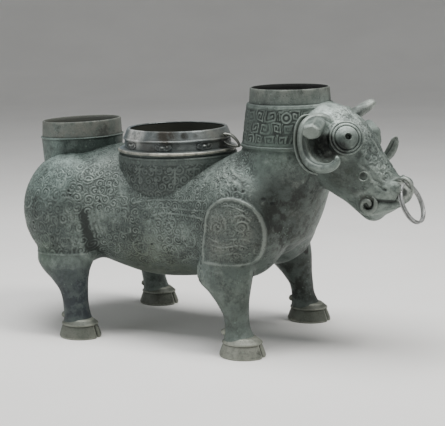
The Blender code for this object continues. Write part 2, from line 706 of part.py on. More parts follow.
def wine_pot():
    """Pot that hangs by its flange in the seat, with a band of medallions and one loop handle."""
    flange_top = POT_FLANGE_Z + POT_FLANGE_THICKNESS
    rim_top = POT_FLANGE_Z + POT_RIM_HEIGHT
    ridge_z = rim_top - POT_RIDGE_DROP
    bottom = rim_top - POT_DEPTH
    bowl = [(POT_BOWL_RADIUS * math.cos(angle), POT_FLANGE_Z - 0.01 - (POT_FLANGE_Z - 0.01 - bottom)
             * math.sin(angle)) for angle in np.radians((75, 50, 25, 0))]
    outer = bowl + [
        (POT_BOWL_RADIUS, POT_FLANGE_Z), (POT_FLANGE_RADIUS, POT_FLANGE_Z),
        (POT_FLANGE_RADIUS - 0.0005, flange_top), (POT_NECK_RADIUS, flange_top + 0.001),
        (POT_NECK_RADIUS, ridge_z - 0.002), (POT_NECK_RADIUS + POT_RIDGE_WIDTH, ridge_z),
        (POT_RIM_RADIUS, rim_top),
    ]
    inner = [(POT_RIM_RADIUS - POT_WALL, rim_top), (POT_NECK_RADIUS - POT_WALL, ridge_z)]
    inner += [(radius - POT_WALL, height + POT_WALL * 0.7) for radius, height in reversed(bowl)]
    pot = turned("wine_pot", outer + inner, (POT_X * U, 0))
    middle = np.array((POT_X * U, 0, (flange_top + ridge_z) / 2))
    extras = []
    for index in range(POT_MEDALLIONS):
        angle = MEDALLION_START + index * 2 * math.pi / POT_MEDALLIONS
        away = np.array((math.cos(angle), math.sin(angle), 0))
        tall = MEDALLION_HEIGHT / 2
        profile = ((tall, -0.002), (tall, 0.0006), (tall * 0.6, 0.0018))
        extras.append(disc("medallion", middle + away * POT_NECK_RADIUS, away, profile, 6,
                           MEDALLION_WIDTH / MEDALLION_HEIGHT))
    away = np.array((math.cos(HANDLE_ANGLE), math.sin(HANDLE_ANGLE), 0))
    reach = POT_NECK_RADIUS + HANDLE_REACH
    loop = [(POT_NECK_RADIUS - 0.001, ridge_z + 0.005), (POT_NECK_RADIUS + 0.009, ridge_z + 0.0035),
            (reach - 0.004, ridge_z - 0.003), (reach, flange_top + 0.0035),
            (reach - 0.005, flange_top + 0.0025), (POT_NECK_RADIUS + 0.006, flange_top + 0.004),
            (POT_NECK_RADIUS - 0.001, flange_top + 0.008)]
    path = [middle * (1, 1, 0) + away * radius + np.array((0, 0, height))
            for radius, height in smooth_path(loop, HANDLE_POINTS)]
    across = np.cross(away, (0, 0, 1))
    halves = [(HANDLE_THICKNESS / 2, HANDLE_THICKNESS * 0.8)] * len(path)
    extras.append(swept("handle", path, halves, [across] * len(path), 6))
    combine(pot, extras, "UNION")
    return pot


def ox_vessel():
    """The ox, cast hollow in one piece."""
    body = ox_skin()
    tree = BVHTree.FromObject(body, bpy.context.evaluated_depsgraph_get())
    modelled = [tail(tree), septum_rim()]
    turnings = [front_neck(), rear_neck(), seat()]
    cutters = [mouth_groove(tree), ring_bore(), chip()]
    for side in SIDES:
        modelled += [horn(side), horn_ridge(side), ear(side), eye(side)]
        modelled += [eyelet(tree, side), mouth_corner(tree, side)]
        outline = shoulder_outline()
        modelled.append(ridge(tree, "shoulder rim", outline, side, 0.34, 0.36, closed=True))
        for line in carving():
            modelled.append(ridge(tree, "carving", line, side, 0.23, 0.28))
        turnings += [hoof(REAR_HOOF, side), hoof(FRONT_HOOF, side)]
        turnings += dewclaws(REAR_DEWCLAWS, side) + dewclaws(FRONT_DEWCLAWS, side)
        cutters.append(nostril(side))
    combine(body, modelled, "UNION", "MANIFOLD")  # EXACT loses the body at an ear
    thin(body, FIGURE_TRIANGLES)
    combine(body, turnings, "UNION")
    inside = cavity()
    combine(inside, [front_bore(), rear_bore(), seat_bore()], "UNION")
    combine(body, [inside] + cutters, "DIFFERENCE")
    body.name = "ox_vessel"
    return body


def main():
    """Build every node."""
    clear_scene()
    bronze = material("patinated bronze", (0.16, 0.20, 0.17), 0.6, 0.4)
    pale = material("worn bronze", (0.34, 0.35, 0.31), 0.45, 0.6)
    ox_vessel().data.materials.append(bronze)
    wine_pot().data.materials.append(bronze)
    nose_ring().data.materials.append(pale)


main()
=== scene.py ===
# %% [markdown]
# # A bronze ox for wine, in Blender
# The object is a hollow cast ox that stands on four cloven hooves. It has a wide mouth on its neck
# and another on its rump, a pot that hangs in a hole in its back, and a loose ring in its nose.
# Its skin is covered with low cast relief and a grey-green patina. This notebook dresses the packed
# solid model: every surface is worked out with numpy, and every finish is made of shader nodes.

# %% Load the solid model as a fixed frame
import math

import bmesh
import bpy
import numpy as np
from mathutils import Matrix


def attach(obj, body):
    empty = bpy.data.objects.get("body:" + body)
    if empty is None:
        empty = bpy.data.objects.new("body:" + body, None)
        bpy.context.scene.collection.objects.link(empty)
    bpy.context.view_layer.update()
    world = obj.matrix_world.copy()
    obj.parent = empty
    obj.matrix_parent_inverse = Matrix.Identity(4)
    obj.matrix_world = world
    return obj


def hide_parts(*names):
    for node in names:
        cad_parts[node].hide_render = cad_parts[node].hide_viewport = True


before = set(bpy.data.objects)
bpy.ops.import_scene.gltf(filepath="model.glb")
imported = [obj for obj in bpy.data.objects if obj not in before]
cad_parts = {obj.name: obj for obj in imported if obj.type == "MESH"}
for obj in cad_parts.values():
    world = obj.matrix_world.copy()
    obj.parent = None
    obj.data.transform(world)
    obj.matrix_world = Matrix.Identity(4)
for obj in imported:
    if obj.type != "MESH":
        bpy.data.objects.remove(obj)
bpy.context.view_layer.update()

CM = 0.01
SIDES = (-1, 1)
WORDS = {-1: "near", 1: "far"}
SPIN = 2 * math.pi
FAR_OFF = 1e9

# %% [markdown]
# ## The camera
# It stands a little above the ox and in front of its right shoulder. Its place and lens are the ones
# that lay the solid model's outline over the photograph's.

# %% Camera
CAMERA_PLACE = np.array((0.86484, -1.55727, 0.47736))
CAMERA_TURN = math.radians(28.76)
CAMERA_DIP = math.radians(10.006)
CAMERA_ROLL = math.radians(-1.392)
CAMERA_LENS = 107.63
SENSOR_WIDTH = 36.0

level = np.array((math.cos(CAMERA_TURN), math.sin(CAMERA_TURN), 0))
ahead = np.array((-math.sin(CAMERA_TURN) * math.cos(CAMERA_DIP),
                  math.cos(CAMERA_TURN) * math.cos(CAMERA_DIP), -math.sin(CAMERA_DIP)))
above = np.cross(level, ahead)
right = level * math.cos(CAMERA_ROLL) + above * math.sin(CAMERA_ROLL)
upward = above * math.cos(CAMERA_ROLL) - level * math.sin(CAMERA_ROLL)
camera = bpy.data.objects.new("camera", bpy.data.cameras.new("camera"))
camera.data.lens = CAMERA_LENS
camera.data.sensor_width = SENSOR_WIDTH
camera.matrix_world = Matrix((right, upward, -ahead)).transposed().to_4x4()
camera.matrix_world.translation = CAMERA_PLACE
bpy.context.scene.collection.objects.link(camera)
bpy.context.scene.camera = camera

# %% [markdown]
# ## From numbers to meshes
# A surface here is a grid of points, worked out all at once. One helper turns such a grid into a
# closed mesh. Rows run along the piece and columns run round it; the two ends are closed by fans,
# or the last row is joined to the first for a hoop.

# %% Grids of points become meshes
def linked(name, verts, faces):
    """An object at the origin, with its faces turned outwards and smooth."""
    mesh = bpy.data.meshes.new(name)
    mesh.from_pydata(np.asarray(verts).tolist(), [], faces)
    work = bmesh.new()
    work.from_mesh(mesh)
    bmesh.ops.recalc_face_normals(work, faces=work.faces)
    work.to_mesh(mesh)
    work.free()
    mesh.shade_smooth()
    piece = bpy.data.objects.new(name, mesh)
    bpy.context.scene.collection.objects.link(piece)
    return piece


def skinned(name, points, hoop=False, crease=None):
    """Mesh of a grid (rows, columns, 3) whose columns close on themselves; crease keeps sharp edges."""
    rows, columns = points.shape[:2]
    index = np.arange(rows * columns).reshape(rows, columns)
    upper = np.roll(index, -1, axis=0) if hoop else index[1:]
    lower = index if hoop else index[:-1]
    quads = np.stack((lower, np.roll(lower, -1, 1), np.roll(upper, -1, 1), upper), -1).reshape(-1, 4)
    verts = points.reshape(-1, 3)
    faces = quads.tolist()
    if not hoop:
        verts = np.vstack((verts, points[0].mean(0), points[-1].mean(0)))
        for ring, centre in ((index[0], rows * columns), (index[-1], rows * columns + 1)):
            faces += np.stack((ring, np.roll(ring, -1), np.full(columns, centre)), -1).tolist()
    piece = linked(name, verts, faces)
    if crease:
        piece.data.set_sharp_from_angle(angle=math.radians(crease))
    return piece


def through(points, count):
    """Catmull-Rom curve through a few chosen points, at evenly spaced parameters."""
    points = np.asarray(points, dtype=float)
    ends = np.vstack((2 * points[0] - points[1], points, 2 * points[-1] - points[-2]))
    at = np.linspace(0, len(points) - 1, count)
    index = np.minimum(at.astype(int), len(points) - 2)
    t = (at - index)[:, None]
    a, b, c, d = (ends[index + shift] for shift in range(4))
    return 0.5 * (2 * b + (c - a) * t + (2 * a - 5 * b + 4 * c - d) * t ** 2
                  + (3 * b - a - 3 * c + d) * t ** 3)


def unit(vectors):
    """The same vectors at length one."""
    return vectors / np.linalg.norm(vectors, axis=-1, keepdims=True)


def rings(centres, first, second, along, across, columns, power=2.0, swell=0.0):
    """Superellipses round centres: |a/along|^power + |b/across|^power = 1 on the axes first, second."""
    turn = np.arange(columns) / columns * SPIN
    cosine, sine = np.cos(turn), np.sin(turn)
    a = np.sign(cosine) * np.abs(cosine) ** (2 / power) * (1 + np.multiply.outer(swell, sine))
    b = np.sign(sine) * np.abs(sine) ** (2 / power)
    a = a * np.asarray(along)[:, None]
    b = b * np.asarray(across)[:, None]
    return np.asarray(centres)[:, None] + a[..., None] * first + b[..., None] * second


def tube(path, along, across, upright, columns, power=2.0):
    """Rings carried along a path, each square to it; upright says which way is up on each."""
    tangent = unit(np.gradient(path, axis=0))
    side = unit(np.cross(tangent, upright))
    lift = np.cross(side, tangent)
    return rings(path, side[:, None], lift[:, None], along, across, columns, power)


def turned(profile, columns, centre, tilt=0.0):
    """Surface of revolution: rows of (radius, height) spun about a vertical line; tilt lifts +X."""
    profile = np.asarray(profile, dtype=float)
    turn = np.arange(columns) / columns * SPIN
    x = np.multiply.outer(profile[:, 0], np.cos(turn))
    y = np.multiply.outer(profile[:, 0], np.sin(turn))
    z = profile[:, 1][:, None] + tilt * x
    return np.stack((centre[0] + x, centre[1] + y, z), -1)


def finer(profile, spacing):
    """A profile with extra points along its straight stretches, at most a spacing apart."""
    profile = np.asarray(profile, dtype=float)
    steps = np.linalg.norm(np.diff(profile, axis=0), axis=1)
    counts = np.maximum(1, np.ceil(steps / spacing).astype(int))
    at = np.concatenate([np.arange(count) / count + start for start, count in enumerate(counts)])
    at = np.append(at, len(counts))
    return np.stack([np.interp(at, np.arange(len(profile)), column) for column in profile.T], -1)


def step(low, high, value):
    """Smooth step: 0 below low, 1 above high, with an S-curve between."""
    t = np.clip((value - low) / (high - low), 0, 1)
    return t * t * (3 - 2 * t)


def within(low, low_end, high_start, high, value):
    """Smooth window: 1 from low_end to high_start, 0 below low and above high."""
    return step(low, low_end, value) * (1 - step(high_start, high, value))


def hashed(row, column, salt):
    """Repeatable disorder from 0 to 1 for each place of a lattice."""
    value = np.sin(row * 127.1 + column * 311.7 + salt * 74.7) * 43758.5453
    return value - np.floor(value)


def cloud(points, size):
    """Soft disorder from 0 to 1: random values on a lattice of cubes, blended with an S-curve."""
    place = points / size
    corner = np.floor(place)
    share = step(0, 1, place - corner)
    total = np.zeros(len(points))
    for lift, over, along in np.ndindex(2, 2, 2):
        weight = np.abs((1 - along - share[:, 0]) * (1 - over - share[:, 1]) * (1 - lift - share[:, 2]))
        total += weight * hashed(corner[:, 0] + along, corner[:, 1] + over, corner[:, 2] + lift)
    return total


# %% [markdown]
# ## The soft form of the ox
# A cast animal is one skin over many masses. The masses are drawn as simple surfaces that overlap,
# melted into one skin by a voxel remesh, and rounded by smoothing. The sizes are those of the solid
# model, in centimetres, so the skin lies where the solid does.

# %% Masses of the body
# Along the ox, bottom, top and half width of each section of the trunk
TRUNK = ((-28.6, 15.0, 18.6, 2.2), (-28.2, 13.4, 20.5, 4.4), (-27.0, 12.0, 22.4, 6.6),
         (-24.5, 11.0, 24.0, 8.4), (-21.0, 10.2, 24.7, 9.2), (-17.0, 9.4, 25.4, 9.3),
         (-13.0, 8.2, 24.9, 9.1), (-9.0, 7.4, 24.4, 9.0), (-5.0, 7.4, 24.0, 8.8),
         (-1.0, 7.9, 23.8, 8.6), (3.0, 9.0, 24.3, 9.5), (7.0, 10.5, 25.0, 9.6),
         (11.0, 12.3, 25.4, 8.0), (13.6, 14.6, 24.6, 5.6), (15.0, 17.0, 23.4, 3.4))
# Height, place along the ox, half length and half width of each section of the neck
NECK = ((13.5, 6.6, 7.0, 8.0), (17.0, 7.9, 7.3, 8.2), (20.0, 9.2, 7.0, 7.6),
        (23.0, 10.6, 6.7, 6.9), (25.6, 11.4, 6.4, 6.45), (28.0, 11.6, 5.6, 5.6))
# Centre and three radii of each muscle
MUSCLES = (((6.5, 0.0, 18.0), (8.0, 8.4, 7.4)), ((-19.6, 5.5, 16.6), (7.4, 6.0, 7.9)),
           ((-18.9, 7.7, 13.2), (5.2, 3.9, 4.6)), ((6.6, 4.6, 16.6), (6.2, 6.0, 7.7)),
           ((6.2, 7.3, 13.4), (4.4, 3.9, 4.6)))
AHEAD = np.array((1.0, 0.0, 0.0))
LEFT = np.array((0.0, 1.0, 0.0))
UP = np.array((0.0, 0.0, 1.0))


def ellipsoid(name, centre, radii):
    """Ball stretched to three radii: latitude by longitude."""
    rows, columns = 24, 32
    latitude = np.linspace(-0.5, 0.5, rows + 2)[1:-1] * math.pi
    radii = np.asarray(radii) * CM
    centres = np.asarray(centre) * CM + np.outer(np.sin(latitude), UP * radii[2])
    flat = np.cos(latitude)
    return skinned(name, rings(centres, AHEAD, LEFT, flat * radii[0], flat * radii[1], columns))


def trunk():
    """Barrel of the body, in upright sections along the ox."""
    x, low, high, half = through(TRUNK, 60).T
    centres = np.stack((x, 0 * x, (low + high) / 2), -1) * CM
    return skinned("trunk", rings(centres, LEFT, UP, half * CM, (high - low) / 2 * CM, 60, 2.05))


def throat():
    """Neck that rises from the chest, in level sections."""
    height, x, long, wide = through(NECK, 16).T
    centres = np.stack((x, 0 * x, height), -1) * CM
    return skinned("throat", rings(centres, AHEAD, LEFT, long * CM, wide * CM, 48))


def muscles():
    """Chest, haunches, thighs, shoulders and forearms, on both sides."""
    bulges = []
    for (x, y, z), radii in MUSCLES:
        for side in SIDES if y else (1,):
            bulges.append(ellipsoid("muscle", (x, side * y, z), radii))
    return bulges


# %% The head and the legs
HEAD_ORIGIN = np.array((14.8, 0.0, 26.4))
HEAD_AXIS = np.array((0.839, 0.0, -0.545))
HEAD_UP = np.array((0.545, 0.0, 0.839))
# Way down the face, rise of the middle, half depth, half width and swell of each section of the head
HEAD = ((-3.0, 0.9, 4.2, 4.4, 0.0), (-1.0, 1.0, 4.8, 4.9, 0.05), (1.0, 1.15, 5.15, 5.0, 0.1),
        (3.5, 1.15, 5.0, 4.8, 0.18), (5.5, 0.9, 4.65, 4.4, 0.18), (8.0, 0.4, 3.9, 3.8, 0.1),
        (10.0, 0.0, 3.65, 3.4, 0.0), (11.5, -0.35, 3.45, 3.1, -0.05), (12.5, 0.1, 2.95, 2.8, 0.0),
        (13.5, 0.85, 2.05, 2.1, 0.0), (14.1, 1.5, 1.35, 1.4, 0.0), (14.45, 1.85, 0.75, 0.7, 0.0))
# Centre, half length and half width of each section of a leg
REAR_LEG = ((-18.6, 6.8, 15.5, 4.0, 3.2), (-18.8, 7.8, 13.0, 4.4, 3.3), (-18.9, 8.4, 11.4, 4.5, 3.1),
            (-18.9, 9.0, 10.0, 4.25, 2.8), (-18.5, 9.4, 8.9, 3.5, 2.6), (-17.6, 9.8, 7.7, 2.6, 2.2),
            (-16.95, 10.0, 6.4, 2.02, 1.85), (-16.7, 10.1, 5.1, 1.8, 1.7),
            (-16.5, 10.2, 3.7, 1.8, 1.7), (-16.3, 10.3, 2.7, 1.9, 1.8), (-16.05, 10.35, 1.6, 2.35, 2.1))
FRONT_LEG = ((6.0, 6.6, 15.6, 3.4, 3.0), (6.0, 7.6, 13.2, 3.9, 3.2), (6.0, 8.4, 11.2, 4.0, 2.95),
             (6.05, 9.0, 9.8, 3.85, 2.65), (6.3, 9.2, 9.0, 3.55, 2.5), (6.95, 9.4, 8.0, 2.8, 2.25),
             (7.5, 9.6, 6.7, 2.15, 1.95), (8.05, 9.8, 5.2, 1.67, 1.7), (8.2, 9.9, 4.0, 1.6, 1.65),
             (8.4, 10.0, 2.9, 1.8, 1.8), (8.8, 10.05, 1.6, 2.4, 2.2))
HOLLOW_HEAD_END = 9.0
WALL = 0.0045


def head_point(along, up, across=0.0):
    """Place on the head in centimetres: down the face from the poll, up from its line, sideways."""
    return HEAD_ORIGIN + np.multiply.outer(along, HEAD_AXIS) + np.multiply.outer(up, HEAD_UP) \
        + np.multiply.outer(across, LEFT)


def head(inset=0.0):
    """Head in sections square to the line of the face; an inset one is the hollow of its back."""
    stations = np.array([row for row in HEAD if not inset or row[0] <= HOLLOW_HEAD_END])
    along, up, deep, wide, swell = stations.T
    return skinned("head", rings(head_point(along, up) * CM, LEFT, HEAD_UP, wide * CM - inset,
                                 deep * CM - inset, 40, 2.2, swell))


def leg(stations, side):
    """Leg above the hoof, in level sections."""
    x, y, z, long, wide = np.array(stations).T
    centres = np.stack((x, side * y, z), -1) * CM
    return skinned("leg", rings(centres, AHEAD, LEFT, long * CM, wide * CM, 32))


# %% [markdown]
# ## Melting the masses into one skin
# Voxel remeshing walks a fine grid through space and keeps only the outside of everything in it.
# The body is melted and smoothed a lot, then the head and the legs are melted on and smoothed
# a little. A round of subdivision at the end gives points close enough for cast relief.

# %% Melting
VOXEL = 0.0025
FINE_VOXEL = 0.002
BARREL_PASSES = 50
FIGURE_PASSES = 22


def settled(piece):
    """Replace a piece's mesh with what its modifiers make of it."""
    graph = bpy.context.evaluated_depsgraph_get()
    mesh = bpy.data.meshes.new_from_object(piece.evaluated_get(graph))
    piece.modifiers.clear()
    piece.data = mesh
    return piece


def joined(pieces):
    """Put several meshes into the first one."""
    work = bmesh.new()
    for piece in pieces:
        work.from_mesh(piece.data)
    work.to_mesh(pieces[0].data)
    work.free()
    for piece in pieces[1:]:
        bpy.data.objects.remove(piece, do_unlink=True)
    return pieces[0]


def melted(pieces, voxel, passes):
    """One smooth skin round overlapping masses."""
    piece = joined(pieces)
    skin = piece.modifiers.new("skin", "REMESH")
    skin.mode = "VOXEL"
    skin.voxel_size = voxel
    soften = piece.modifiers.new("soften", "SMOOTH")
    soften.factor = 0.5
    soften.iterations = passes
    return settled(piece)


def barrel():
    """Trunk, neck and muscles, melted together."""
    return melted([trunk(), throat()] + muscles(), VOXEL, BARREL_PASSES)


figure = [barrel(), head()]
for side in SIDES:
    figure += [leg(REAR_LEG, side), leg(FRONT_LEG, side)]
    figure.append(ellipsoid("brow", head_point(4.7, 2.9, side * 2.9), (2.3, 1.9, 2.3)))
    figure.append(ellipsoid("nostril wing", (26.4, side * 2.0, 21.4), (1.3, 1.0, 1.1)))
figure.append(ellipsoid("lower lip", head_point(11.4, -2.3), (1.5, 2.4, 1.5)))
ox = melted(figure, FINE_VOXEL, FIGURE_PASSES)
ox.name = "ox_figure"
rounder = ox.modifiers.new("finer", "SUBSURF")
rounder.levels = rounder.render_levels = 1
settled(ox)
print("skin:", len(ox.data.vertices), "points")

# %% [markdown]
# ## Reading a place on the skin
# The relief is a function of place. Each flank is unrolled: u runs along the ox and bends round the
# rump and the chest, and v climbs from the belly over the flank to the back. Both sides share one
# pattern, because only the distance from the middle plane counts.

# %% Unrolling a flank
RUMP_TURN, CHEST_TURN = -17.0, 7.0
RUMP_RADIUS, CHEST_RADIUS = 10.5, 8.5
FLANK_AXIS, FLANK_RADIUS = 16.0, 8.6


def unrolled(points):
    """(u, v) in centimetres: angles round the rump, the chest and the trunk's axis, as arc lengths."""
    x, y, z = points.T
    behind = np.maximum(0, RUMP_TURN - x)
    before = np.maximum(0, x - CHEST_TURN)
    u = np.clip(x, RUMP_TURN, CHEST_TURN)
    u = u - RUMP_RADIUS * np.arctan2(behind, np.abs(y)) + CHEST_RADIUS * np.arctan2(before, np.abs(y))
    out = np.sqrt(y ** 2 + behind ** 2 + before ** 2)
    return u, FLANK_AXIS + FLANK_RADIUS * np.arctan2(z - FLANK_AXIS, out)


def distance(a, b, line):
    """Distance in the plane from points (a, b) to a polyline: the nearest of its segments."""
    line = np.asarray(line, dtype=float)
    nearest = np.full(a.shape, FAR_OFF)
    for (a0, b0), (a1, b1) in zip(line[:-1], line[1:]):
        da, db = a1 - a0, b1 - b0
        share = np.clip(((a - a0) * da + (b - b0) * db) / (da * da + db * db), 0, 1)
        nearest = np.minimum(nearest, np.hypot(a - a0 - share * da, b - b0 - share * db))
    return nearest


def inside(a, b, outline):
    """Even-odd rule: True where a level line to the right crosses an outline an odd number of times."""
    outline = np.asarray(outline, dtype=float)
    odd = np.zeros(a.shape, dtype=bool)
    for (a0, b0), (a1, b1) in zip(outline, np.roll(outline, -1, axis=0)):
        crosses = (b0 > b) != (b1 > b)
        odd ^= crosses & (a < a0 + (b - b0) / (b1 - b0 if b1 != b0 else 1) * (a1 - a0))
    return odd


def bead(gap, width):
    """Rounded ridge of a half width: 1 on its line, 0 at its foot."""
    return step(0, 1, 1 - gap / width)


# %% [markdown]
# ## The cast ornament
# The real skin is filled with small scrolls. A scroll is a wave that winds: its height depends on the
# distance from its middle and on the angle round it, added together. A staggered lattice with
# a little disorder gives the middles, and each point of the skin listens to its nearest one.

# %% Small scrolls
SCROLL_SPACING = 1.32
SCROLL_PITCH = 0.37
ROW_SHARE = 0.88


def scrolls(u, v, spacing=SCROLL_SPACING, pitch=SCROLL_PITCH, square=False):
    """Height from -1 to 1 of winding waves round the nearest middle of a staggered lattice."""
    tall = spacing * ROW_SHARE
    first = np.full(u.shape, FAR_OFF)
    second = first.copy()
    wave = np.zeros(u.shape)
    loose = 0.0 if square else 0.5
    for down, over in np.ndindex(3, 3):
        row = np.round(v / tall) + down - 1
        shift = 0.5 * (row % 2)
        column = np.round(u / spacing - shift) + over - 1
        centre_u = (column + shift + loose * (hashed(row, column, 1) - 0.5)) * spacing
        centre_v = (row + loose * (hashed(row, column, 2) - 0.5)) * tall
        a, b = u - centre_u, v - centre_v
        gap = np.maximum(np.abs(a), np.abs(b)) if square else np.hypot(a, b)
        spin = np.where(hashed(row, column, 3) > 0.5, 1, -1)
        winding = gap / pitch - spin * np.arctan2(b, a) / SPIN + hashed(row, column, 4)
        closer = gap < first
        second = np.where(closer, first, np.minimum(second, gap))
        wave = np.where(closer, np.cos(winding * SPIN), wave)
        first = np.where(closer, gap, first)
    edge = step(0.0, 0.16, second - first)
    return np.tanh(1.8 * wave) * edge - 0.7 * (1 - edge)


# %% [markdown]
# ## The large strokes
# Over the scrolls lie bold lines: a raised horseshoe round the shoulder with a mask inside it, bands
# and coils under the pot, feathers at the flank's fold and the border above the plain legs. Each is
# a line with a few chosen points, drawn from the side; its ridge is a function of the distance.

# %% Lines drawn from the side, in centimetres along the ox and up
SHOULDER = through(((3.9, 12.0), (3.9, 15.5), (4.4, 18.4), (6.2, 19.9), (8.2, 20.1), (10.2, 19.1),
                    (11.3, 17.2), (11.4, 15.2), (10.9, 13.2), (9.8, 12.0), (7.0, 11.9), (3.9, 12.0)), 48)
BORDER_HEIGHT = 11.35
PLAIN_FROM = 10.6
BELLY_FROM = 9.4
FOLD_PLACE = -14.6
FEATHER_SPACING = 0.62


def spiral(a, b, size, turns, start, way):
    """Line that winds from a rim towards a middle at (a, b)."""
    share = np.linspace(0, 1, int(14 * turns))
    angle = math.radians(start) + way * share * turns * SPIN
    radius = size * (1 - 0.8 * share)
    return np.stack((a + radius * np.cos(angle), b + radius * np.sin(angle)), -1)


BOLD = [
    # Bands and coils on the flank under the pot
    (through(((-8.0, 18.6), (-4.6, 19.1), (-1.5, 19.2), (3.4, 19.6)), 12), 0.16),
    (through(((-6.4, 17.9), (-3.8, 18.2), (0.0, 18.15), (3.6, 18.4)), 12), 0.15),
    (through(((-5.3, 15.0), (-5.1, 16.6), (-3.9, 17.4), (-1.8, 17.5), (3.5, 17.4)), 14), 0.2),
    (spiral(-2.4, 15.9, 1.25, 1.4, 20, 1), 0.17),
    (spiral(-9.3, 15.4, 1.7, 1.5, 200, -1), 0.2),
    (spiral(-6.9, 12.6, 1.4, 1.5, 100, 1), 0.18),
    (spiral(-11.6, 12.4, 1.2, 1.4, 20, -1), 0.17),
    (spiral(0.6, 14.2, 1.5, 1.5, 150, -1), 0.18),
    (spiral(-2.6, 12.3, 1.2, 1.4, 300, 1), 0.17),
    (spiral(-12.2, 20.2, 1.5, 1.4, 30, 1), 0.17),
    (through(((-10.8, 22.4), (-10.2, 20.0), (-8.6, 18.2), (-8.2, 16.6)), 10), 0.18),
    # On the haunch
    (through(((-18.4, 18.2), (-17.4, 19.1), (-16.2, 18.9), (-15.7, 18.0)), 8), 0.28),
    (spiral(-17.6, 16.1, 1.5, 1.5, 60, -1), 0.2),
    (spiral(-21.2, 17.2, 1.7, 1.5, -60, 1), 0.2),
    (spiral(-20.6, 13.3, 1.3, 1.4, 120, -1), 0.18),
    (spiral(-17.0, 13.0, 1.2, 1.4, 200, 1), 0.18),
    (spiral(-24.4, 18.6, 1.6, 1.4, 10, -1), 0.2),
    (spiral(-24.6, 14.4, 1.4, 1.4, 220, 1), 0.18),
    (spiral(-18.6, 21.6, 1.4, 1.4, 150, 1), 0.18),
    (spiral(-14.9, 22.4, 1.3, 1.4, 330, -1), 0.18),
    # Between the shoulder and the front neck
    (through(((4.4, 23.9), (5.6, 23.0), (7.0, 22.4), (8.2, 21.8), (9.2, 20.9)), 10), 0.3),
    (through(((6.3, 23.6), (7.2, 23.1), (8.7, 22.4), (10.2, 21.8)), 10), 0.26),
    (spiral(4.6, 21.6, 0.95, 1.3, 40, 1), 0.17),
    (spiral(6.4, 21.2, 0.8, 1.3, 40, 1), 0.16),
    (spiral(3.0, 22.2, 0.9, 1.3, 200, -1), 0.16),
    (spiral(1.6, 20.6, 0.9, 1.3, 200, -1), 0.16),
    (through(((10.5, 20.9), (11.5, 20.9), (12.4, 20.0), (12.7, 19.0)), 8), 0.2),
]
MASK = [
    (spiral(5.9, 16.6, 0.95, 1.5, 200, -1), 0.2), (spiral(9.1, 16.7, 0.9, 1.5, -20, 1), 0.2),
    (through(((5.0, 17.6), (5.9, 18.3), (6.9, 17.8), (7.2, 16.6), (7.2, 15.4)), 12), 0.2),
    (through(((10.1, 17.5), (9.2, 18.2), (8.2, 17.9), (7.9, 16.9)), 10), 0.2),
    (through(((4.6, 15.2), (6.0, 14.8), (7.6, 15.1), (9.2, 15.2), (10.6, 14.7)), 12), 0.16),
    (through(((5.4, 14.3), (7.0, 14.1), (8.8, 14.4), (9.8, 14.0)), 10), 0.14),
    (through(((5.0, 13.4), (6.4, 13.1), (8.4, 13.4), (9.6, 13.1)), 10), 0.14),
    (through(((6.2, 19.2), (7.8, 19.3), (9.3, 18.7)), 8), 0.16),
]
PITS = ((-16.9, 20.0, 0.28), (-16.6, 19.5, 0.22), (11.2, 20.1, 0.32), (12.1, 19.55, 0.3),
        (7.9, 21.3, 0.3), (8.9, 21.1, 0.3), (5.4, 23.6, 0.26), (-13.0, 18.6, 0.26),
        (-9.4, 13.6, 0.24), (-5.2, 13.2, 0.25), (-22.6, 15.4, 0.26), (-19.0, 12.6, 0.25))


def drawn(a, b, strokes):
    """Highest ridge over all strokes at each point."""
    height = np.zeros(a.shape)
    for line, width in strokes:
        low, high = line.min(0) - width, line.max(0) + width
        near = (a > low[0]) & (a < high[0]) & (b > low[1]) & (b < high[1])
        height[near] = np.maximum(height[near], bead(distance(a[near], b[near], line), width))
    return height


# %% Relief of the body, with its heights in centimetres
SCROLL_RISE, STROKE_RISE = 0.030, 0.050
MASK_RISE, PANEL_SCROLL_RISE, PANEL_RISE = 0.06, 0.022, 0.01
FEATHER_RISE = 0.022
HORSESHOE_LOW, HORSESHOE_MORE = 0.07, 0.11
BORDER_RISE, FOLD_DEPTH, PIT_DEPTH = 0.06, 0.16, 0.14
GRAIN_RISE, DENT_RISE = 0.012, 0.03


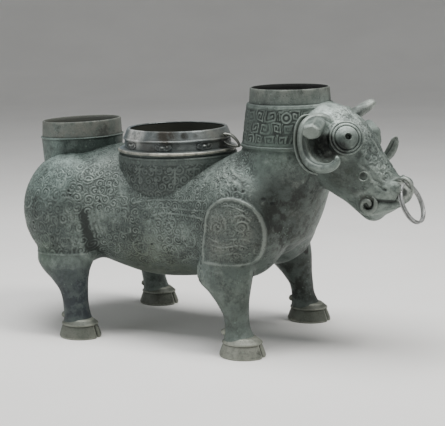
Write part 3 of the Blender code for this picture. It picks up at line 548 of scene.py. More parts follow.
def body_relief(points, outward):
    """For each point of the body: the relief's height, its tone from dark to light, its ornament."""
    x, y, z = points.T
    u, v = unrolled(points)
    side = step(0.2, 0.55, np.abs(outward[:, 1]))
    ahead_of_fold = step(FOLD_PLACE - 0.15, FOLD_PLACE + 0.15, x)
    floor = step(BORDER_HEIGHT, BORDER_HEIGHT + 0.2, z) * (1 - ahead_of_fold) \
        + step(BELLY_FROM, BELLY_FROM + 0.6, v) * ahead_of_fold
    panel = inside(x, z, SHOULDER[:-1]) & (np.abs(y) > 2.6)
    plain = step(PLAIN_FROM - 1.6, PLAIN_FROM + 0.2, x + 0.18 * (z - 20))
    below_panel = (z < 12.3) & (x > 3.6) & (x < 13) & (np.abs(y) > 6)
    covered = floor * (1 - plain) * np.where(below_panel, 0, 1)
    strokes = drawn(x, z, BOLD) * side
    worn = 0.5 + 0.5 * step(0.3, 0.6, 0.6 * cloud(points, 2.6) + 0.4 * cloud(points + 7, 0.8))
    field = scrolls(u + 0.3 * cloud(points, 1.7), v) * (1 - strokes)
    height = worn * (SCROLL_RISE * field + STROKE_RISE * strokes)
    feathers = within(-14.4, -14.0, -12.2, -11.6, x) * within(13.9, 14.3, 17.2, 17.6, z) * side
    comb = np.cos(SPIN * (x + 0.15 * (z - 16)) / FEATHER_SPACING)
    height = height * (1 - feathers) + feathers * FEATHER_RISE * comb
    mask = drawn(x, z, MASK)
    panel_field = MASK_RISE * mask + PANEL_SCROLL_RISE * scrolls(x, z, 1.0, 0.34) * (1 - mask)
    height = np.where(panel, worn * panel_field + PANEL_RISE, height * covered)
    ridge = bead(distance(x, z, SHOULDER), 0.36) * step(2.2, 3.4, np.abs(y)) * step(10.5, 11.2, z)
    height = height * (1 - ridge) + (HORSESHOE_LOW + HORSESHOE_MORE * step(12.0, 13.2, z)) * ridge
    border = bead(np.abs(z - BORDER_HEIGHT - 0.02 * (x + 18)), 0.2) * (1 - ahead_of_fold)
    height = height + BORDER_RISE * (border * step(4, 6, np.abs(y)))
    fold = bead(np.abs(x - FOLD_PLACE + 0.1 * (z - 14)), 0.8) * within(10.5, 12.0, 16.4, 18.2, z)
    height = height - FOLD_DEPTH * fold * side
    for px, pz, size in PITS:
        height = height - PIT_DEPTH * bead(np.hypot(x - px, z - pz), size) * side
    height = height + GRAIN_RISE * (cloud(points, 0.35) - 0.5) + DENT_RISE * (cloud(points, 1.4) - 0.5)
    ornament = np.clip(covered + panel, 0, 1) * (1 - 0.6 * ridge)
    # The horseshoe ridge's tone may reach 1, so the ridge takes the worn colour: worn metal and a painted
    # highlight along the ridge.
    return height, np.clip(height / 0.10, -1, 0.3 + 0.7 * ridge), ornament


# %% [markdown]
# ## The face
# The head has its own directions: down the face, up from it, and sideways. The bridge of the nose and
# the forehead carry a strip of scales, the cheeks are plain, and the mouth is a groove that runs round
# the muzzle. Folds and grooves of the muzzle are lines in space, chosen on the near half and folded
# over to the far one.

# %% Relief of the head
MOUTH = ((23.9, 3.1, 19.4), (24.7, 2.95, 19.85), (25.8, 2.5, 19.8), (26.7, 1.95, 19.65),
         (27.4, 1.1, 19.4), (27.7, 0.0, 19.3))
NOSTRIL_SLIT = ((27.2, 1.7, 21.6), (27.25, 1.85, 21.0), (27.1, 1.9, 20.4), (26.9, 1.9, 19.8))
JAW = ((22.2, 2.4, 18.35), (23.6, 2.5, 17.95), (25.2, 1.9, 18.45), (26.4, 1.0, 18.8), (26.9, 0.0, 18.9))
UPPER_LIP = ((24.6, 3.0, 20.5), (25.6, 2.7, 20.6), (26.5, 2.3, 20.5))
NOSE_FOLDS = (((23.9, 3.1, 22.4), (24.9, 2.9, 22.0), (25.9, 2.7, 21.6)),
              ((24.6, 2.8, 21.6), (25.4, 2.9, 21.1), (26.3, 2.8, 21.1)),
              ((22.4, 3.6, 24.4), (23.4, 3.3, 23.7), (24.0, 3.2, 22.6), (24.6, 3.1, 21.7)))
# Line, points along it, height and half width of each ridge; a groove has a height below zero
FACE_LINES = [(MOUTH, 16, -0.22, 0.46), (UPPER_LIP, 8, 0.06, 0.6), (JAW, 12, 0.10, 0.42)]
FACE_LINES += [(fold, 8, 0.07, 0.3) for fold in NOSE_FOLDS]
# Middle and half width of the nostril's hole, the dish beside the wall of the nose and a dimple
FACE_DIPS = (((27.0, 1.7, 21.6), 0.75), ((27.7, 1.3, 20.9), 1.0), ((25.7, 2.9, 21.35), 0.35))
STRIP_ALONG, STRIP_HALF = (1.0, 4.0, 6.0, 8.0, 11.4), (4.6, 4.4, 3.0, 3.0, 2.3)
SCALE_RISE, EDGE_RISE = 0.06, 0.05


def reach(points, line, width):
    """Rounded ridge round a line in space, 1 on it and 0 at a width from it."""
    height = np.zeros(len(points))
    low, high = np.min(line, 0) - width, np.max(line, 0) + width
    near = np.all((points > low) & (points < high), axis=1)
    place, gap = points[near], np.full(near.sum(), FAR_OFF)
    for start, end in zip(line[:-1], line[1:]):
        run = end - start
        share = np.clip((place - start) @ run / (run @ run), 0, 1)
        gap = np.minimum(gap, np.linalg.norm(place - start - np.outer(share, run), axis=1))
    height[near] = bead(gap, width)
    return height


def face_relief(points, outward):
    """For each point of the head: the relief's height, its tone from dark to light, its ornament."""
    along, across = (points - HEAD_ORIGIN) @ HEAD_AXIS, np.abs(points[:, 1])
    folded = np.stack((points[:, 0], across, points[:, 2]), -1)
    top = step(0.05, 0.35, outward @ HEAD_UP)
    half = np.interp(along, STRIP_ALONG, STRIP_HALF)
    strip = top * (1 - step(half - 0.3, half + 0.1, across)) * within(-0.4, 0.4, 10.9, 11.5, along)
    lumps = step(0.35, 0.75, cloud(folded, 0.5)) - 0.4
    scales = 0.35 * scrolls(along * 1.05, across + 0.55, 1.25, 0.42) + lumps
    edge = bead(np.abs(across - half), 0.2) * top * within(5.5, 6.5, 11.0, 11.5, along)
    crest = bead(across, 0.4) * top * within(1.0, 2.0, 10.5, 11.2, along)
    height = SCALE_RISE * scales * strip + EDGE_RISE * edge + EDGE_RISE * crest
    for line, count, rise, width in FACE_LINES:
        height = height + rise * reach(folded, through(line, count), width)
    slit = reach(folded, through(NOSTRIL_SLIT, 10), 0.34)
    hole, dish, dimple = (bead(np.linalg.norm(folded - middle, axis=1), width)
                          for middle, width in FACE_DIPS)
    height = height - 0.22 * slit - 0.8 * hole - 0.2 * dish - 0.14 * dimple
    height = height + GRAIN_RISE * (cloud(points, 0.35) - 0.5) + DENT_RISE * (cloud(points, 1.1) - 0.5)
    return height, np.clip(height / 0.12 + 0.1 * strip - 0.3 * hole, -1, 1), 0.3 + 0.7 * strip


def relief(points, outward):
    """Relief over the whole figure: the face's beyond the neck, the body's elsewhere."""
    body = body_relief(points, outward)
    face = face_relief(points, outward)
    place = points - HEAD_ORIGIN
    along, low = place @ HEAD_AXIS, points[:, 2]
    share = step(0.2, 0.9, along) * step(16.6, 17.4, low) * step(-4.7, -4.1, place @ HEAD_UP)
    return [low_part * (1 - share) + face_part * share for low_part, face_part in zip(body, face)]


# %% Raise the relief on the skin
FIGURE_FACES = 193000


def read(mesh):
    """Places and normals of every point of a mesh, as two arrays."""
    places = np.empty(len(mesh.vertices) * 3, dtype=np.float32)
    normals = places.copy()
    mesh.vertices.foreach_get("co", places)
    mesh.vertex_normals.foreach_get("vector", normals)
    return places.reshape(-1, 3).astype(float), normals.reshape(-1, 3).astype(float)


places, outward = read(ox.data)
height = relief(places / CM, outward)[0]
ox.data.vertices.foreach_set("co", (places + outward * height[:, None] * CM).ravel())
thinner = ox.modifiers.new("thinner", "DECIMATE")
thinner.ratio = min(1.0, FIGURE_FACES / (2 * len(ox.data.polygons)))
settled(ox)
print("relief from", height.min(), "to", height.max(), "cm;", len(ox.data.polygons), "faces")

# %% [markdown]
# ## Necks, seat and hollow
# The two mouths and the pot's seat are turned shapes, as on a potter's wheel, and the inside of the
# vessel is the body's own form drawn in by the wall's thickness. A Boolean difference cuts it out
# of the figure together with the three round openings.

# %% Sizes of the openings
FRONT_CENTRE, FRONT_RADIUS = (0.114, 0.0), 0.052
REAR_CENTRE, REAR_RADIUS, REAR_TILT = (-0.214, 0.0), 0.0555, 0.03
POT_CENTRE = (-0.057, 0.0)
SEAT_INNER = 0.0765
FLANGE_Z = 0.2495
# (radius, height) profile, centre and tilt of the tools that open the two mouths and the seat
BORES = (
    (((FRONT_RADIUS + 0.003, 0.233), (FRONT_RADIUS + 0.003, 0.263), (FRONT_RADIUS - 0.001, 0.317),
      (FRONT_RADIUS - 0.001, 0.35)), FRONT_CENTRE, 0.0),
    (((REAR_RADIUS - 0.003, 0.216), (REAR_RADIUS - 0.0015, 0.264), (REAR_RADIUS - 0.0015, 0.30)),
     REAR_CENTRE, REAR_TILT),
    (((SEAT_INNER - 0.010, 0.1795), (SEAT_INNER + 0.001, 0.2045), (SEAT_INNER + 0.001, 0.28)),
     POT_CENTRE, 0.0),
)


def cavity():
    """Inside of the casting: the barrel pushed in by a wall, with the hollow of the head."""
    hollow = barrel()
    inset = hollow.modifiers.new("inset", "DISPLACE")
    inset.strength = -WALL
    inset.mid_level = 0
    return melted([settled(hollow), head(WALL)], 2 * VOXEL, 4)


def cut(piece, tools):
    """Take several closed tools away from a piece."""
    for tool in tools:
        boolean = piece.modifiers.new("cut", "BOOLEAN")
        boolean.operation = "DIFFERENCE"
        boolean.solver = "MANIFOLD"
        boolean.object = tool
        settled(piece)
        bpy.data.objects.remove(tool, do_unlink=True)
    return piece


bores = [skinned("bore", turned(profile, 96, centre, tilt)) for profile, centre, tilt in BORES]
cut(ox, [cavity()] + bores)
print("hollow figure:", len(ox.data.polygons), "faces")

# %% [markdown]
# ## The turned shapes
# The smooth collar, the ledge and the cone of the front mouth are one profile spun round a line, with
# its wall carried back down the inside, so the piece is a closed ring. Squared scrolls are raised on
# the cone. The rear mouth is the same idea on a slant, and the seat is the bowl under the pot's flange.

# %% Shells spun on a wheel
LINING = -3.0
OUTER_SPACING, RIM_SPACING, INNER_SPACING, FOOT_SPACING = 0.0013, 0.0011, 0.004, 0.002
CONE_RADIUS, DRUM_RADIUS, BOWL_RADIUS = 6.1, 5.8, 8.0
BOWL_BARS = 20


def shaded(piece, values, key="relief"):
    """Keep one number of each point for the patina: how raised it is, or how ornamented."""
    padded = np.zeros(len(piece.data.vertices), dtype=np.float32)
    padded[:len(values)] = values
    piece.data.attributes.new(key, "FLOAT", "POINT").data.foreach_set("value", padded)
    return piece


def push_out(points, turn, height):
    """Move the points of a turned surface away from its axis by heights in centimetres."""
    points[..., 0] += height * CM * np.cos(turn)
    points[..., 1] += height * CM * np.sin(turn)


def shell(name, outer, inner, centre, columns, relief_of, tilt=0.0):
    """Closed ring between two profiles; relief_of gives the height and the tone of the outer one."""
    rim = finer((outer[-1], inner[0]), RIM_SPACING)[1:-1]
    foot = finer((inner[-1], outer[0]), FOOT_SPACING)[1:-1]
    outer, inner = finer(outer, OUTER_SPACING), finer(inner, INNER_SPACING)
    points = turned(np.vstack((outer, rim, inner, foot)), columns, centre, tilt)
    rows = len(outer)
    # The inner wall is marked as lining, which the ox's patinas paint near black: painted shade inside the
    # mouths and the seat.
    tone = np.zeros(points.shape[:2])
    tone[rows + len(rim):] = LINING
    turn = np.broadcast_to(np.arange(columns) / columns * SPIN, (rows, columns))
    tall = np.broadcast_to(outer[:, 1][:, None] / CM, (rows, columns))
    height, tone[:rows] = relief_of(turn, tall)
    push_out(points[:rows], turn, height)
    return shaded(skinned(name, points, hoop=True, crease=32), tone.ravel())


def cone_relief(turn, tall):
    """Three rows of squared scrolls on the front cone, a ringed boss on each side, plain borders."""
    around = turn * CONE_RADIUS
    places = np.stack((around, tall, 0 * tall), -1).reshape(-1, 3)
    worn = 0.35 + 0.65 * step(0.3, 0.65, cloud(places, 1.3).reshape(around.shape))
    bend = 0.12 * np.sin(around * 2.3) + 0.1 * np.sin(tall * 3.1 + around)
    field = scrolls(around * 1.0026 + bend, tall - 27.4 + 0.5 * bend, 1.7, 0.42, square=True)
    zone = within(26.9, 27.1, 31.0, 31.2, tall)
    height = 0.042 * field * worn
    for side in SIDES:
        facing = np.angle(np.exp(1j * (turn - side * math.radians(69)))) * CONE_RADIUS
        gap = np.hypot(facing, tall - 30.2)
        ringed = 0.07 * bead(np.abs(gap - 0.62), 0.2) + 0.10 * bead(gap, 0.4) - 0.03
        height = np.where(gap < 0.85, ringed, height)
    line = bead(np.abs(tall - 26.72), 0.16) + bead(np.abs(tall - 31.35), 0.14)
    foot = step(26.4, 26.6, tall)
    return height * zone * foot + 0.05 * line * foot, np.clip(height * zone / 0.05 - 0.25 * zone, -1, 1)


def drum_relief(turn, tall):
    """Faint worn scrolls on the drum under the rear collar."""
    field = scrolls(turn * DRUM_RADIUS, tall, 1.6, 0.44)
    zone = within(23.2, 23.8, 25.8, 26.1, tall)
    return 0.010 * field * zone, 0.1 * field * zone


def bowl_relief(turn, tall):
    """Bars and coils on the seat's bowl that shows in the ox's back, under a plain line."""
    around = turn * BOWL_RADIUS
    zone = within(16.6, 17.2, 23.6, 23.9, tall)
    spacing = BOWL_RADIUS * SPIN / BOWL_BARS
    place = np.mod(around, spacing) - spacing / 2
    tall_bar = bead(np.abs(place), 0.2) * within(21.0, 21.3, 23.2, 23.5, tall)
    cross = bead(np.abs(tall - 23.1), 0.18) * within(-0.9, -0.7, 0.7, 0.9, place)
    coils = scrolls(around, tall + 0.35, 1.26, 0.42)
    field = np.maximum(coils * (1 - step(0.0, 0.5, tall_bar + cross)), 0) - 0.4
    height = 0.07 * np.maximum(tall_bar, cross) + 0.055 * field
    line = bead(np.abs(tall - 24.35), 0.12)
    return height * zone + 0.05 * line, np.clip(height * zone / 0.06, -1, 0.25)


front_neck = shell(
    "front_neck",
    ((0.0600, 0.250), (0.0605, 0.257), (0.0650, 0.2618), (0.0650, 0.2642), (0.0631, 0.2655),
     (0.0565, 0.316), (0.0557, 0.317), (0.0532, 0.3174), (0.0520, 0.336), (0.0514, 0.337)),
    ((0.0494, 0.337), (0.0488, 0.336), (0.0488, 0.317), (0.0545, 0.263), (0.0555, 0.250)),
    FRONT_CENTRE, 460, cone_relief)
rear_neck = shell(
    "rear_neck",
    ((0.0552, 0.228), (0.0575, 0.2615), (0.0590, 0.263), (0.0584, 0.264), (0.0565, 0.2644),
     (0.0555, 0.285), (0.0549, 0.286)),
    ((0.0529, 0.286), (0.0523, 0.285), (0.0523, 0.264), (0.0515, 0.228)),
    REAR_CENTRE, 420, drum_relief, REAR_TILT)
seat_bowl = shell(
    "seat_bowl",
    ((0.0735, 0.186), (0.0780, 0.1950), (0.0810, 0.2042), (0.0815, 0.2292), (0.0810, 0.2417),
     (0.0806, 0.2432), (0.0812, 0.2445), (0.0806, 0.2456), (0.0782, 0.2464), (0.0780, 0.2492)),
    ((SEAT_INNER, 0.2492), (SEAT_INNER, 0.2045), (0.0680, 0.186)),
    POT_CENTRE, 460, bowl_relief)

# %% [markdown]
# ## Horns and ears
# A horn is a ring of points carried along a curve: back from the brow, down round the ear, and forward
# to a raised blade. Its section has a crisp bead on the inner side of the curl. A thin crescent runs
# outside it. Inside each curl is an ear: a six-sided bud on the near side, a slim leaf on the far one.

# %% Horns
HORN = ((18.7, 2.8, 29.2), (17.5, 4.3, 30.1), (16.3, 5.6, 29.4), (16.3, 6.6, 27.5), (17.1, 7.3, 25.6),
        (18.4, 7.9, 24.7), (19.8, 8.3, 24.5), (21.0, 8.6, 24.75), (21.8, 8.7, 25.4), (21.8, 8.7, 26.2))
FAR_HORN = ((18.7, 2.8, 29.2), (17.5, 4.3, 30.1), (16.3, 5.6, 29.4), (16.4, 6.8, 27.3),
            (17.2, 7.6, 25.2), (18.5, 8.1, 24.0), (20.0, 8.5, 23.5), (21.2, 8.7, 23.7),
            (22.1, 8.7, 24.8), (22.85, 8.6, 26.6))
HORN_RIDGE = ((17.0, 4.3, 30.6), (15.7, 5.0, 30.4), (15.1, 5.5, 29.4), (15.0, 5.9, 28.0),
              (15.15, 6.1, 26.5), (15.8, 6.4, 25.0), (16.9, 6.8, 24.0), (18.4, 7.1, 23.5))


def mirrored(path, side):
    """The same path on one side of the middle plane, in metres."""
    return np.asarray(path) * CM * np.array((1, side, 1))


def horn(side):
    """Horn with a bead on the inside of its curl and a slim blade for a tip."""
    rows, columns = 130, 40
    share = np.linspace(0, 1, rows)
    path = mirrored(through(HORN if side < 0 else FAR_HORN, rows), side)
    blade = step(0.74, 0.92, share)
    stations = (0.0, 0.5, 0.7, 0.8, 0.9, 0.97, 1.0)
    wide = np.interp(share, stations, (0.84, 0.64, 0.52, 0.46, 0.4, 0.3, 0.05))
    high = np.interp(share, stations, (0.9, 0.78, 0.68, 0.58, 0.42, 0.28, 0.05))
    if side > 0:
        wide = wide * (1 + 0.45 * blade * step(1.0, 0.96, share))
    points = tube(path, wide * CM, high * CM, np.array((0.15, side, 0.25)), columns, 2.2)
    centres = points.mean(1, keepdims=True)
    inward = unit(mirrored((18.9, 7.4, 27.4), side) - centres)
    away = unit(points - centres)
    rim = step(0.78, 0.98, (away * inward).sum(-1)) * (0.14 + 0.05 * blade[:, None])
    outer = step(0.86, 0.99, -(away * inward).sum(-1)) * 0.08
    groove = bead(np.abs((away * inward).sum(-1) - 0.62), 0.22) * 0.07
    points = points + away * ((rim + outer - groove) * CM)[..., None]
    return skinned("horn_" + WORDS[side], points)


def horn_ridge(side):
    """Thin crescent that follows the outside of the horn and dies away on the cheek."""
    rows = 70
    share = np.linspace(-1, 1, rows)
    taper = (0.26 - 0.18 * share ** 4) * CM
    path = mirrored(through(HORN_RIDGE, rows), side)
    return skinned("horn_edge_" + WORDS[side],
                   tube(path, taper, taper * 2.6, np.array((0.15, side, 0.25)), 16))


def ear(side):
    """Ear: a six-sided bud with a blunt end on the near side, and a slim raised leaf on the far one."""
    rows, columns = 60, 60
    share = np.linspace(0, 1, rows)
    blunt = side < 0
    tip = (18.3, 8.7, 28.9) if blunt else (19.8, 8.3, 31.2)
    path = mirrored(through(((17.2, 4.0, 29.4), (17.6, 5.6, 29.5), tip), rows), side)
    stations = (0.0, 0.2, 0.4, 0.6, 0.8, 0.93, 0.98, 1.0)
    if blunt:
        halves = ((0.9, 1.1, 1.26, 1.33, 1.33, 1.24, 1.1, 0.9),
                  (0.7, 0.9, 1.06, 1.13, 1.13, 1.04, 0.9, 0.75))
    else:
        halves = ((0.9, 1.0, 1.05, 1.05, 1.0, 0.86, 0.64, 0.3),
                  (0.8, 0.85, 0.85, 0.82, 0.76, 0.64, 0.5, 0.2))
    wide, high = (np.interp(share, stations, row) for row in halves)
    points = tube(path, wide * CM, high * CM, np.array((0.0, 0.1, 1.0)), columns)
    if blunt:
        turn = np.arange(columns) / columns * SPIN
        facet = np.cos(math.pi / 6) / np.cos(np.mod(turn + 0.35, math.pi / 3) - math.pi / 6)
        size = 1 + 0.6 * (facet - 1) * step(0.3, 0.7, share)[:, None]
        centres = points.mean(1, keepdims=True)
        points = centres + (points - centres) * size[..., None]
    return skinned("ear_" + WORDS[side], points, crease=24 if blunt else None)


ears_and_horns = []
for side in SIDES:
    ears_and_horns += [horn(side), horn_ridge(side), ear(side)]

# %% [markdown]
# ## Eyes, curls and nostrils
# The eye is turned too, but about a slanting axis: stepped rings, a dark groove, a dome and a drilled
# pupil. The corner of the mouth is a curl, a rolled brim stands over each nostril, and a rib runs down
# the wall between them.

# %% Bosses on slanting axes
EYE_PLACE = (21.2, 4.35, 27.85)
EYE_AXIS = (0.58, 0.74, 0.3)
EYE_PROFILE = ((2.2, -1.8), (2.2, 0.0), (2.16, 0.08), (2.06, 0.12), (1.98, 0.08), (1.93, 0.02),
               (1.87, 0.1), (1.78, 0.2), (1.68, 0.22), (1.6, 0.18), (1.54, 0.1), (1.48, 0.2),
               (1.4, 0.34), (1.3, 0.42), (1.16, 0.5), (1.0, 0.66), (0.72, 0.92), (0.54, 1.06),
               (0.46, 1.08), (0.4, 1.0), (0.36, 0.3), (0.05, 0.25))
FAR_EYE_SIZE, FAR_EYE_DROP = 0.84, 0.35
CHEEK_RING_PROFILE = ((0.66, -0.6), (0.66, 0.1), (0.58, 0.18), (0.48, 0.12), (0.42, -0.3), (0.05, -0.34))
NOSTRIL_BRIM = ((27.1, 0.3, 22.4), (26.6, 1.1, 22.55), (26.25, 1.9, 22.3), (26.2, 2.5, 21.8),
                (26.3, 2.75, 21.2))
SEPTUM_RIB = ((26.2, 0, 22.3), (27.2, 0, 22.45), (27.9, 0, 21.95), (28.22, 0, 21.1), (28.0, 0, 20.35),
              (27.7, 0, 19.8), (27.2, 0, 19.3))


def boss(name, centre, axis, profile, columns):
    """Rows of (radius, height) spun about a slanting axis through a centre; an upright axis gives no size.
    """
    axis = unit(np.asarray(axis, dtype=float))
    first = unit(np.cross(UP, axis))
    radius, rise = finer(profile, 0.07).T
    centres = np.asarray(centre) + np.outer(rise, axis)
    points = rings(centres * CM, first, np.cross(axis, first), radius * CM, radius * CM, columns)
    return skinned(name, points, crease=50)


def curl(name, centre, axis, first, size, turns, way, thick, start):
    """Rolled strip that winds inwards on a plane square to an axis and rises towards its middle."""
    rows = int(60 * turns)
    share = np.linspace(0, 1, rows)
    axis = unit(np.asarray(axis, dtype=float))
    first = unit(np.asarray(first) - axis * np.dot(first, axis))
    second = np.cross(axis, first)
    angle = math.radians(start) + way * share * turns * SPIN
    radius = size * (1 - 0.78 * share)
    path = np.asarray(centre) + np.outer(radius * np.cos(angle), first) \
        + np.outer(radius * np.sin(angle), second) + np.outer(0.15 * share, axis)
    girth = thick * (0.35 + 0.65 * step(0, 0.12, share)) * (1 - 0.55 * step(0.9, 1, share))
    return skinned(name, tube(path * CM, girth * CM, girth * CM, axis, 16))


face = []
for side in SIDES:
    word = WORDS[side]
    centre = np.array(EYE_PLACE) * (1, side, 1) - (0, 0, FAR_EYE_DROP if side > 0 else 0)
    profile = np.array(EYE_PROFILE) * (FAR_EYE_SIZE if side > 0 else 1.0)
    face.append(boss("eye_" + word, centre, np.array(EYE_AXIS) * (1, side, 1), profile, 96))
    face.append(boss("cheek_ring_" + word, (23.1, side * 3.5, 23.0), (0.35, side, 0.25),
                     CHEEK_RING_PROFILE, 48))
    face.append(curl("mouth_curl_" + word, (23.45, side * 3.12, 19.4), (0.1, side, -0.05), (1, 0, 0),
                     1.2, 1.25, side, 0.28, -60 * side))
    brim = mirrored(through(NOSTRIL_BRIM, 50), side)
    girth = 0.2 * CM * (1 - 0.7 * np.linspace(-1, 1, 50) ** 4)
    face.append(skinned("nostril_brim_" + word, tube(brim, girth, girth, np.array((0.5, side, 0.3)), 20)))

girth = 0.24 * CM * (1 - 0.5 * np.linspace(-1, 1, 70) ** 4)
face.append(skinned("septum_rim", tube(through(SEPTUM_RIB, 70) * CM, girth, girth * 1.2, LEFT, 24)))

# %% [markdown]
# ## Hooves, claws and tail
# A hoof is a stack of level rings that flare to the ground, with a ledge at the top. A narrow dip in
# each ring at the front makes the cleft. Two small claws sit behind each pastern. The tail is a plain
# cord of bronze against the rump.

# %% Hooves
# Height of a ring, and its size as a share of the hoof's
HOOF_PROFILE = ((2.6, 0.55), (2.55, 0.62), (2.1, 0.80), (1.95, 0.86), (1.8, 0.87), (1.7, 0.83),
                (1.6, 0.84), (1.0, 0.92), (0.4, 0.99), (0.2, 1.0), (0.05, 0.985), (0.0, 0.96))
# Place along the ox and to the side, half length and half width
REAR_HOOF = (-15.9, 10.4, 3.0, 2.5)
FRONT_HOOF = (9.0, 10.1, 3.1, 2.6)
CLAW_PROFILE = ((0.46, -0.5), (0.47, 0.0), (0.4, 0.28), (0.22, 0.46), (0.03, 0.52))
CLAWS = {"rear": (-17.85, 10.3, 3.0), "front": (6.85, 10.0, 3.1)}
CLAW_APART = 0.75
TAIL = ((-27.4, 0, 22.3), (-28.3, 0, 20.4), (-28.85, 0, 18.2), (-28.8, 0, 16.2), (-28.2, 0, 14.2),
        (-27.3, 0, 12.4))


def hoof(name, place, side):
    """Rings of a flared oval, each pulled in at the front by a narrow bell-shaped dip."""
    x, y, long, wide = place
    tall, spread = finer(HOOF_PROFILE, 0.1).T
    columns = 128
    centres = np.stack((0 * tall + x, 0 * tall + side * y, tall), -1) * CM
    points = rings(centres, AHEAD, LEFT, long * spread * CM, wide * spread * CM, columns)
    turn = np.arange(columns) / columns * SPIN
    front = np.exp(-(np.sin(turn / 2) / 0.05) ** 2)
    depth = 0.16 * step(0.0, 1.0, (2.1 - tall) / 0.8)
    pull = 1 - np.outer(depth, front)
    points[..., 0] = x * CM + (points[..., 0] - x * CM) * pull
    points[..., 1] = side * y * CM + (points[..., 1] - side * y * CM) * pull
    return skinned(name, points, crease=45)


feet = []
for side in SIDES:
    word = WORDS[side]
    feet += [hoof("rear_hoof_" + word, REAR_HOOF, side), hoof("front_hoof_" + word, FRONT_HOOF, side)]
    for end, (x, y, z) in CLAWS.items():
        for lean in SIDES:
            name = f"claw_{end}_{word}_{'in' if lean * side < 0 else 'out'}"
            feet.append(boss(name, (x, side * y + lean * CLAW_APART, z), (-1, 0.1 * lean, -0.35),
                             CLAW_PROFILE, 28))

share = np.linspace(0, 1, 80)
bulge = (0.5 + 0.5 * share ** 2 - 0.55 * share ** 10 + 0.03 * np.sin(share * 70)) * CM
tail = skinned("tail", tube(through(TAIL, 80) * CM, bulge, 0.55 * bulge + 0.002, (-1.0, 0, 0.1), 24))

# %% [markdown]
# ## The pot
# It hangs by its flange, and lifts out. The profile goes up the outside, over the rim and down the
# inside. On the band between flange and ridge stand eight oval medallions, each with a small crouching
# beast, made here of a body, a head and legs as rounded bumps.

# %% Pot
POT = {"neck": 0.072, "bowl": 0.0735, "flange": 0.0815, "wall": 0.0035}
BOWL_TOP, BOWL_DEPTH, FLOOR_RISE = 0.2395, 0.0745, 0.0026
FLANGE_ROWS = 14
MEDALLIONS = 8
MEDALLION_START = math.radians(15)
BAND_RADIUS, BAND_MIDDLE = 7.2, 25.97
# Bumps of a beast: place along and up, half length, half height, rise
BEAST = ((-0.1, 0.02, 0.5, 0.2, 0.13), (0.55, 0.12, 0.2, 0.15, 0.12), (-0.45, -0.2, 0.12, 0.14, 0.08),
         (0.2, -0.22, 0.12, 0.13, 0.08), (-0.66, 0.12, 0.16, 0.08, 0.07))
HANDLE_TURN = math.radians(3)
# Way out from the pot's axis and height of the handle's line
HANDLE = ((7.1, 27.15), (8.1, 27.0), (8.9, 26.35), (9.3, 25.65), (8.8, 25.55), (7.8, 25.7), (7.1, 26.1))
KNOB_PROFILE = ((0.38, -0.3), (0.42, 0.0), (0.34, 0.22), (0.14, 0.34), (0.02, 0.36))


def medallion_relief(turn, tall):
    """Height in centimetres of the band's ovals, and of the beast on each of them."""
    width = SPIN / MEDALLIONS
    a = (np.mod(turn - MEDALLION_START + width / 2, width) - width / 2) * BAND_RADIUS
    b = tall - BAND_MIDDLE
    oval = np.hypot(a / 1.3, b / 0.58)
    plate = 0.14 * (1 - step(0.82, 1.0, oval))
    rim = 0.05 * bead(np.abs(oval - 0.86), 0.12)
    beast = np.zeros(a.shape)
    for along, up, long, high, rise in BEAST:
        beast = np.maximum(beast, rise * bead(np.hypot((a - along) / long, (b - up) / high), 1.0))
    return plate + rim + beast


def wine_pot():
    """Bowl, flange, neck, ridge and rim as one profile, with the medallions raised on its band."""
    bowl = [(POT["bowl"] * math.cos(t), BOWL_TOP - BOWL_DEPTH * math.sin(t))
            for t in np.radians(np.linspace(89, 0, 24))]
    band = ((POT["bowl"], FLANGE_Z), (POT["flange"] - 0.0006, FLANGE_Z), (POT["flange"], FLANGE_Z + 0.0008),
            (POT["flange"] - 0.0002, FLANGE_Z + 0.0026), (POT["flange"] - 0.0010, FLANGE_Z + 0.0035),
            (0.0740, FLANGE_Z + 0.0038), (POT["neck"], FLANGE_Z + 0.0048), (POT["neck"] - 0.0004, 0.2640),
            (0.0730, 0.2650), (0.0742, 0.2660), (0.0742, 0.2672), (0.0730, 0.2682), (0.0712, 0.2725),
            (0.0686, 0.2788), (0.0678, 0.2799), (0.0666, 0.2800))
    inner = [(0.0650, 0.2800), (0.0644, 0.2790), (0.0680, 0.2660)]
    inner += [(max(radius - POT["wall"], 0.0004), height + FLOOR_RISE) for radius, height in reversed(bowl)]
    outside = finer(band, 0.0010)
    profile = np.vstack((bowl[:-1], outside, finer(inner[:3], 0.003), inner[3:]))
    columns = 420
    points = turned(profile, columns, POT_CENTRE)
    turn = np.broadcast_to(np.arange(columns) / columns * SPIN, points.shape[:2])
    tall = np.broadcast_to(profile[:, 1][:, None] / CM, points.shape[:2])
    rows = np.arange(len(profile))[:, None]
    on_band = (rows > len(bowl) + FLANGE_ROWS) & (rows < len(bowl) - 1 + len(outside)) & (tall < 26.5)
    height = np.where(on_band, medallion_relief(turn, tall), 0)
    push_out(points, turn, height)
    raised_tone = np.clip((height - 0.19) / 0.08, -0.7, 0.6)
    tone = np.where(on_band, np.where(height < 0.02, 0.15, raised_tone), 0)
    tone[len(bowl) + len(outside) + 1:] = LINING
    return shaded(skinned("pot", points, crease=34), tone.ravel())


def pot_handle():
    """Strap that leaves the ridge, runs out and down to a point and comes back; and its knob."""
    out = np.array((math.cos(HANDLE_TURN), math.sin(HANDLE_TURN), 0))
    foot = np.array((*POT_CENTRE, 0))
    away, tall = through(HANDLE, 70).T * CM
    path = foot + np.outer(away, out) + np.outer(tall, UP)
    wide = (0.18 + 0.03 * np.cos(np.linspace(0, 1, 70) * SPIN)) * CM
    strap = skinned("pot_handle", tube(path, wide, wide * 1.7, np.cross(out, UP), 24, 2.6))
    # boss() finds no direction across an upright axis, so this knob comes out without size
    knob = boss("pot_knob", foot / CM + out * 7.35 + UP * 27.15, UP, KNOB_PROFILE, 32)
    return [strap, knob]


pot = wine_pot()
pot_parts = pot_handle()

# %% [markdown]
# ## The nose ring
# A flat hoop hangs through the wall between the nostrils. Its section is a rounded strip with a shallow
# groove along the outside, and the strip is carried round a circle that leans back.

